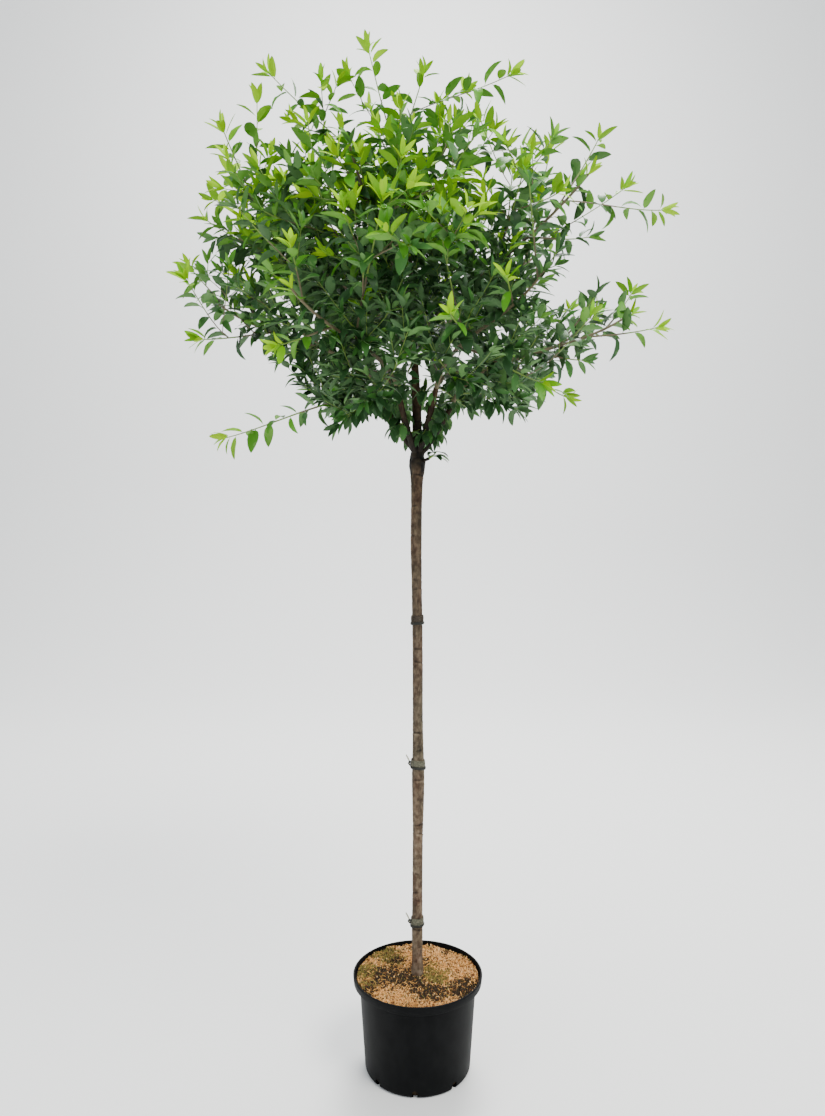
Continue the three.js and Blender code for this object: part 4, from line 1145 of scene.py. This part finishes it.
# %% [markdown]
# A young leaf is lime and an old one dark green. So the colours are dealt out by shoot: lime at young
# tips, fresh green round them, and dark green inside. How green a leaf is depends on how far out in
# the crown and how high its shoot ends, on whether the shoot still grows, and on how near its tip the
# leaf sits. The darker green deep inside and low in the crown, and the brighter green high up, are
# partly painted shade and painted light on top of the leaves' age. Colours drawn at random would look
# like confetti.

# %% Leaf colours by age and painted shade

leaf_rng = np.random.default_rng(77)
kinds = {"lime": [], "bright": [], "fresh": [], "deep": [], "dark": []}
KIND_LIMITS = ((1.12, "lime"), (0.80, "bright"), (0.54, "fresh"), (0.34, "deep"))
# How far from a shoot's tip its leaves stay young, in mm, and how much the colours waver
YOUNG_LENGTH = 38
COLOUR_WAVER = 0.11


def add_leaf(kind, base, along, normal, length, wide, droop):
    """Keeps one leaf under its kind, with its own fold."""
    kinds[kind].append((base, along, normal, length, length * wide, droop,
                        leaf_rng.uniform(0.12, 0.5)))


def kind_at(from_tip, age_and_shade, growth):
    """The leaf's colour by how far from its shoot's tip it sits, in mm, by how green the shoot is,
    with painted shade deep in and low in the crown, and by how strongly it grows: a shoot in growth
    ends in soft lime leaves."""
    green = age_and_shade + growth * math.exp(-from_tip / YOUNG_LENGTH) + leaf_rng.normal(0, COLOUR_WAVER)
    for limit, kind in KIND_LIMITS:
        if green > limit:
            return kind
    return "dark"


def crown_share(point):
    """How far out in the crown a point is, where 1 is the even outline."""
    x, y, z = point - HUB
    away = math.sqrt(x * x + y * y + z * z)
    rise = math.degrees(math.asin(min(1, max(0, z / max(away, 1)))))
    return min(1.1, away / max(crown_reach(rise, math.degrees(math.atan2(y, x))), 200))


print("crown share of the leader's tip:", round(crown_share(trunk_centre(LEADER_TIP_Z)), 2))

# %% [markdown]
# The leaves stand round each shoot by the golden turn, as on many trees, so that none shades
# the next. Each one leans away from its shoot and turns its upper side to the sky, and old
# ones droop more. A pattern that is instanced along a curve would repeat, so each leaf is
# placed by itself with its own small chances.

# %% Leaves on the shoots

# By the shoot's order: the bare share at its root, and the space between leaves in mm
BARE = {0: 0.45, "long": 0.2, 1: 0.2, 2: 0.1, 3: 0.1}
SPACING = {0: 12, "long": 16, 1: 14, 2: 12, 3: 10.5}
# Long shoots that end farther right than this, in mm, have fewer leaves
RIGHT_FROM = 250
RIGHT_LONG_SPACING = 23
# How far the tip of a shoot in growth shifts towards lime, and that of one at rest
GROWING = 0.95
RESTING = 0.2
# Shoots that end above this level, in mm, are brighter, and brightest a length higher: painted light
# from above
GREEN_LEVEL = 1860
GREEN_RISE = 400
# Only the tuft's leaves stand nearer to the tip than this, in mm
TIP_GAP = 8
# A leaf this far from the tip, in mm, is old
OLD_FROM_TIP = 90
# Ranges for a leaf: length in mm, width as a share of it, and lean from its shoot in degrees
LEAF_LENGTH = (44, 64)
LEAF_WIDE = (0.34, 0.44)
LEAF_LEAN = (38, 58)
TUFT_LENGTH = (42, 52)
TUFT_WIDE = 0.29
INNER_LENGTH = (34, 46)
INNER_WIDE = 0.5


def square_to(way, turn):
    """A way square to a shoot, turned round it by an angle."""
    side = unit(np.cross(way, UP) + 1e-6)
    return side * math.cos(turn) + np.cross(side, way) * math.sin(turn)


for shoots in crown:
    for line, order in zip(shoots.lines, shoots.order):
        ways = unit(np.gradient(line, axis=0))
        steps = np.linalg.norm(np.diff(line, axis=0), axis=1)
        along_line = np.concatenate([[0], np.cumsum(steps)])
        total = along_line[-1]
        far_right = order == "long" and line[-1][0] >= RIGHT_FROM
        spacing = RIGHT_LONG_SPACING if far_right else SPACING[order]
        distance = total * BARE[order]
        turn = leaf_rng.uniform(0, 6.28)
        # Painted shade and light on top of the leaves' age: shoots that end deep inside or low down
        # are darker, high ones brighter
        end_share = crown_share(line[-1])
        height = np.clip((line[-1][2] - GREEN_LEVEL) / GREEN_RISE, -0.7, 1)
        age_and_shade = 0.42 * end_share + 0.12 * height + leaf_rng.normal(0, 0.07)
        chance = ramp_to_one(end_share, 0.55, 0.35) * (0.6 + 0.4 * height)
        growth = GROWING if order == "long" or leaf_rng.random() < chance else RESTING
        while distance < total - TIP_GAP:
            point = np.array([np.interp(distance, along_line, line[:, k]) for k in range(3)])
            way = unit(np.array([np.interp(distance, along_line, ways[:, k]) for k in range(3)]))
            from_tip = total - distance
            old = min(1, from_tip / OLD_FROM_TIP)
            lean = math.radians(leaf_rng.uniform(*LEAF_LEAN) + 16 * old)
            along = (way * math.cos(lean) + square_to(way, turn) * math.sin(lean)
                     + UP * leaf_rng.uniform(-0.05, 0.3))
            outward_way = unit(np.array([point[0], point[1], 0]))
            normal = UP + outward_way * leaf_rng.uniform(-0.3, 0.5) + leaf_rng.normal(0, 0.24, 3)
            length = (leaf_rng.uniform(*LEAF_LENGTH) * (1 - 0.15 * math.exp(-from_tip / 30))
                      * (0.75 + 0.25 * end_share))
            # A leaf deeper inside the crown gets darker still: painted shade
            kind = kind_at(from_tip, age_and_shade * (0.5 + 0.5 * crown_share(point)), growth)
            add_leaf(kind, point, along, normal, length, leaf_rng.uniform(*LEAF_WIDE),
                     0.3 + old * leaf_rng.uniform(0.2, 1.1))
            turn += math.radians(GOLDEN_TURN)
            distance += spacing * leaf_rng.uniform(0.8, 1.25)
        # The shoot ends in a tuft of slim young leaves
        for k in range(6 if order == "long" else 4):
            turn += math.radians(GOLDEN_TURN)
            radial = square_to(ways[-1], turn)
            along = ways[-1] + radial * (0.22 + 0.15 * k)
            add_leaf(kind_at(k * 3, age_and_shade, growth), line[-1] - ways[-1] * k * 3, along,
                     ways[-1] * 0.4 - radial + UP * 0.6,
                     leaf_rng.uniform(*TUFT_LENGTH) * (0.76 + 0.06 * k), TUFT_WIDE,
                     leaf_rng.uniform(0.1, 0.7))

# Dark leaves hang from the sprout and from the twiglets of the boughs and the leader; their dark
# green is partly painted shade deep in the crown
for line in twiglets:
    for k in range(6):
        turn = math.radians(k * GOLDEN_TURN)
        along = unit(line[-1] - line[0]) + np.array([math.cos(turn), math.sin(turn), -0.45])
        add_leaf(("deep", "dark", "dark")[k % 3], line[2 + 5 * k // 6], along, UP,
                 leaf_rng.uniform(*INNER_LENGTH), INNER_WIDE, 0.9)
print("leaves:", {kind: len(rows) for kind, rows in kinds.items()})

# %% [markdown]
# Each kind of leaf becomes one or more joined meshes, and each mesh has two materials with a
# plain colour, which an export keeps best. A ripe leaf has wax on its upper side that
# reflects the sky, and a young lime one is still matt. The lower side is duller.

# %% Leaf meshes

# For each kind: the upper and the lower colour, and the shine of the upper side
LEAF_COLOURS = {
    "lime": ("A4D600", "9ECC08", 0.08),
    "bright": ("78B800", "7CB01C", 0.14),
    "fresh": ("4C8C16", "66983A", 0.25),
    "deep": ("386A28", "588044", 0.3),
    "dark": ("284C24", "46663C", 0.3),
}
MOST_LEAVES = 3600
for kind, rows in kinds.items():
    upper_colour, lower_colour, wax = LEAF_COLOURS[kind]
    sides = [make_material("leaf_upper_" + kind, upper_colour, 0.46, wax),
             make_material("leaf_lower_" + kind, lower_colour, 0.65, 0.2)]
    for part, start in enumerate(range(0, len(rows), MOST_LEAVES)):
        some = rows[start:start + MOST_LEAVES]
        columns = [np.array([row[k] for row in some], dtype=float) for k in range(7)]
        points, upper, lower = leaf_arrays(*columns)
        piece = from_arrays(f"leaves_{kind}_{part}", points, upper + lower)
        finish_piece(piece, sides, "foliage", *FOLIAGE, smooth=50)
        numbers = np.concatenate([np.zeros(len(upper)), np.ones(len(lower))]).astype(int)
        piece.data.polygons.foreach_set("material_index", numbers)
        print(piece.name, "faces:", len(piece.data.polygons))

# %% [markdown]
# ## The ties
# Three soft ties go round the stem. Each is a flat dull band with a rolled lower edge in near black,
# which is a painted shadow under the band. The two lower ones are knotted at the left, with a pale
# loose end that sticks up. A torus would be the quick way, but a tie follows the bends and swellings
# of the bark, so its ring is worked out from the trunk's own rule.

# %% Ties

# Each tie: its node, height, tilt in degrees, and whether it has a knot
TIES = [("tie_low", 340, 5, True), ("tie_middle", 710, -4, True), ("tie_high", 1043, 3, False)]
RING_STEPS = 64
RING_SECTION = 10
TIE_EASE = 0.9
# Points of the knot and of the loose end, in mm from the stem's left edge
KNOT_POINTS = [(3, -6, 3), (-3, -5, 5), (-5, -2, 0), (-2, 1, -5), (2, -1, -5), (1, -5, 0)]
KNOT_STEPS = 26
END_POINTS = [(-2, -3, -1), (-4, -3.4, 7), (-8, -3, 15), (-11, -2.4, 20)]
END_RADII = [1.5, 1.7, 1.6, 1.3]
# Soft tie tubing: dull, with dust and algae in specks of about 4 mm that break up its colour
band_green = mottled("dull_green_tie", "434235", "676554", 260, 0.7, 0.25, (0.25, 0.0006))
band_brown = mottled("brown_tie", "2C2620", "4A4137", 260, 0.8, 0.15, (0.25, 0.0006))
# Near black for the tie's lower edge, a painted shadow under the band, and for the knot
dark_tie_and_shadow = mottled("tie_edge_shadow_and_dark_knot", "171713", "26261F", 260, 0.6, 0.3, (0.2, 0.0004))
end_pale = mottled("pale_tie_end", "98977F", "BAB9A5", 260, 0.7, 0.3, (0.2, 0.0004))


def tie_tube(name, z, tilt, radius, lift, tall):
    """A ring of tube round the trunk, set on a slant. It is taller than wide by a factor."""
    level = z + lift
    centre = trunk_centre(level)
    out = trunk_radius(level) + TIE_EASE + radius
    points, faces = [], []
    for turn in round_angles(RING_STEPS):
        wobble = 0.5 * math.sin(3 * turn + z)
        for a in round_angles(RING_SECTION):
            r = out + radius * math.cos(a)
            x = r * math.cos(turn)
            points.append((centre[0] + x, centre[1] + r * math.sin(turn), level + wobble
                           + x * math.tan(math.radians(tilt)) + radius * tall * math.sin(a)))
    for i in range(RING_STEPS):
        a, b = i * RING_SECTION, ((i + 1) % RING_STEPS) * RING_SECTION
        for k in range(RING_SECTION):
            after = (k + 1) % RING_SECTION
            faces.append((a + k, b + k, b + after, a + after))
    piece = from_arrays(name, points, faces)
    outward(piece)
    return piece


for name, z, tilt, knotted in TIES:
    band = tie_tube("band_" + name, z, tilt, 1.1, 1, 7.2)
    edge = tie_tube("edge_" + name, z, tilt, 1.8, -8.8, 1.7)
    tie_pieces = [(band, band_green if knotted else band_brown), (edge, dark_tie_and_shadow)]
    if knotted:
        edge_of_stem = [trunk_centre(z)[0] - trunk_radius(z) - 3, 0, z]
        corners = np.array(KNOT_POINTS) + edge_of_stem
        t = np.linspace(0, len(corners) - 1, KNOT_STEPS)
        loop = np.stack([np.interp(t, range(len(corners)), corners[:, k]) for k in range(3)], axis=-1)
        knot = join_tubes("knot_" + name, [(loop, np.full(KNOT_STEPS, 2.1))], 8)
        end_line = np.array(END_POINTS) + edge_of_stem
        end = join_tubes("end_" + name, [(end_line, np.array(END_RADII))], 8)
        tie_pieces += [(knot, dark_tie_and_shadow), (end, end_pale)]
    for piece, finish in tie_pieces:
        finish_piece(piece, [finish], "tie", name, smooth=60)
print("ties:", len(TIES))

# %% [markdown]
# ## Floor, light and camera
# A pale floor that curves up into a backdrop keeps the eye on the tree. It is a plane whose
# far edge is drawn up, with the fold rounded by a Bevel modifier. A large soft lamp from
# above right is the bright sky, a weak one opens the shadows on the left, one behind the
# tree lights the leaves' edges, and one washes the backdrop. The world gives an even fill.
# The camera stands where the photographer stood: 1.9 m away, at chest height.

# %% Floor

FLOOR_SIZE = 14
BACKDROP_HEIGHT = 9
COVE_WIDTH = 3
deselect()
bpy.ops.mesh.primitive_plane_add(size=FLOOR_SIZE, location=(0, 0, 0))
floor = bpy.context.active_object
floor.name = "studio_floor"
bpy.ops.object.mode_set(mode="EDIT")
bpy.ops.mesh.select_all(action="DESELECT")
bpy.ops.object.mode_set(mode="OBJECT")
for edge in floor.data.edges:
    edge.select = all(floor.data.vertices[v].co.y > FLOOR_SIZE / 2 - 1 for v in edge.vertices)
bpy.ops.object.mode_set(mode="EDIT")
bpy.ops.mesh.extrude_region_move(TRANSFORM_OT_translate={"value": (0, 0, BACKDROP_HEIGHT)})
bpy.ops.object.mode_set(mode="OBJECT")
cove = floor.modifiers.new("cove", "BEVEL")
cove.width = COVE_WIDTH
cove.segments = 24
cove.limit_method = "ANGLE"
bpy.ops.object.modifier_apply(modifier=cove.name)
bpy.ops.object.shade_smooth()
# Matt studio paper: nearly white, with no shine that would mirror the pot
floor.data.materials.append(make_material("pale_studio_paper", "F7F7F5", 0.9, 0.2))
print("floor faces:", len(floor.data.polygons))

# %% [markdown]
# The lamps are round and large, because a large lamp makes soft shadows. Each one is turned
# towards a target by its own -Z axis. The camera's lens was worked out from the pot: how
# flat its rim looks gives the height, and how wide it is gives the distance.

# %% Lamps, world and camera

MIDDLE_OF_TREE = (0, 0, 1.4)
EYE = (-0.0121, -1.915, 1.2535)
EYE_DOWN = 2.1
LENS = 27.03
SENSOR = 36


def add_lamp(name, place, size, watts, target=MIDDLE_OF_TREE, colour="FFFFFF"):
    """A round soft lamp that shines from a place to a target."""
    lamp = bpy.data.lights.new(name, "AREA")
    lamp.shape = "DISK"
    lamp.size = size
    lamp.energy = watts
    lamp.color = linear(colour)[:3]
    holder = bpy.data.objects.new(name, lamp)
    holder.location = place
    holder.rotation_euler = (Vector(target) - Vector(place)).to_track_quat("-Z", "Y").to_euler()
    bpy.context.scene.collection.objects.link(holder)


add_lamp("sky_right", (2.0, -2.2, 5.0), 2.4, 250, colour="FFFDF8")
add_lamp("fill_left", (-3.4, -2.8, 2.6), 3.0, 45, colour="F4F8FF")
add_lamp("back_light", (0.6, 2.6, 4.6), 2.2, 200)
add_lamp("backdrop_wash", (0, 2.6, 6.4), 3.0, 420, target=(0, 7.2, 2.6))
world = bpy.data.worlds.new("even_studio_light")
world.use_nodes = True
background = world.node_tree.nodes["Background"].inputs
background["Color"].default_value = linear("E8EEF4")
background["Strength"].default_value = 0.92
bpy.context.scene.world = world

camera = bpy.data.cameras.new("camera")
camera.sensor_width = SENSOR
camera.lens = LENS
camera.clip_start = 0.05
eye = bpy.data.objects.new("camera", camera)
eye.location = EYE
eye.rotation_euler = (math.radians(90 - EYE_DOWN), 0, 0)
bpy.context.scene.collection.objects.link(eye)
bpy.context.scene.camera = eye
print("camera at:", EYE, "lens:", LENS)
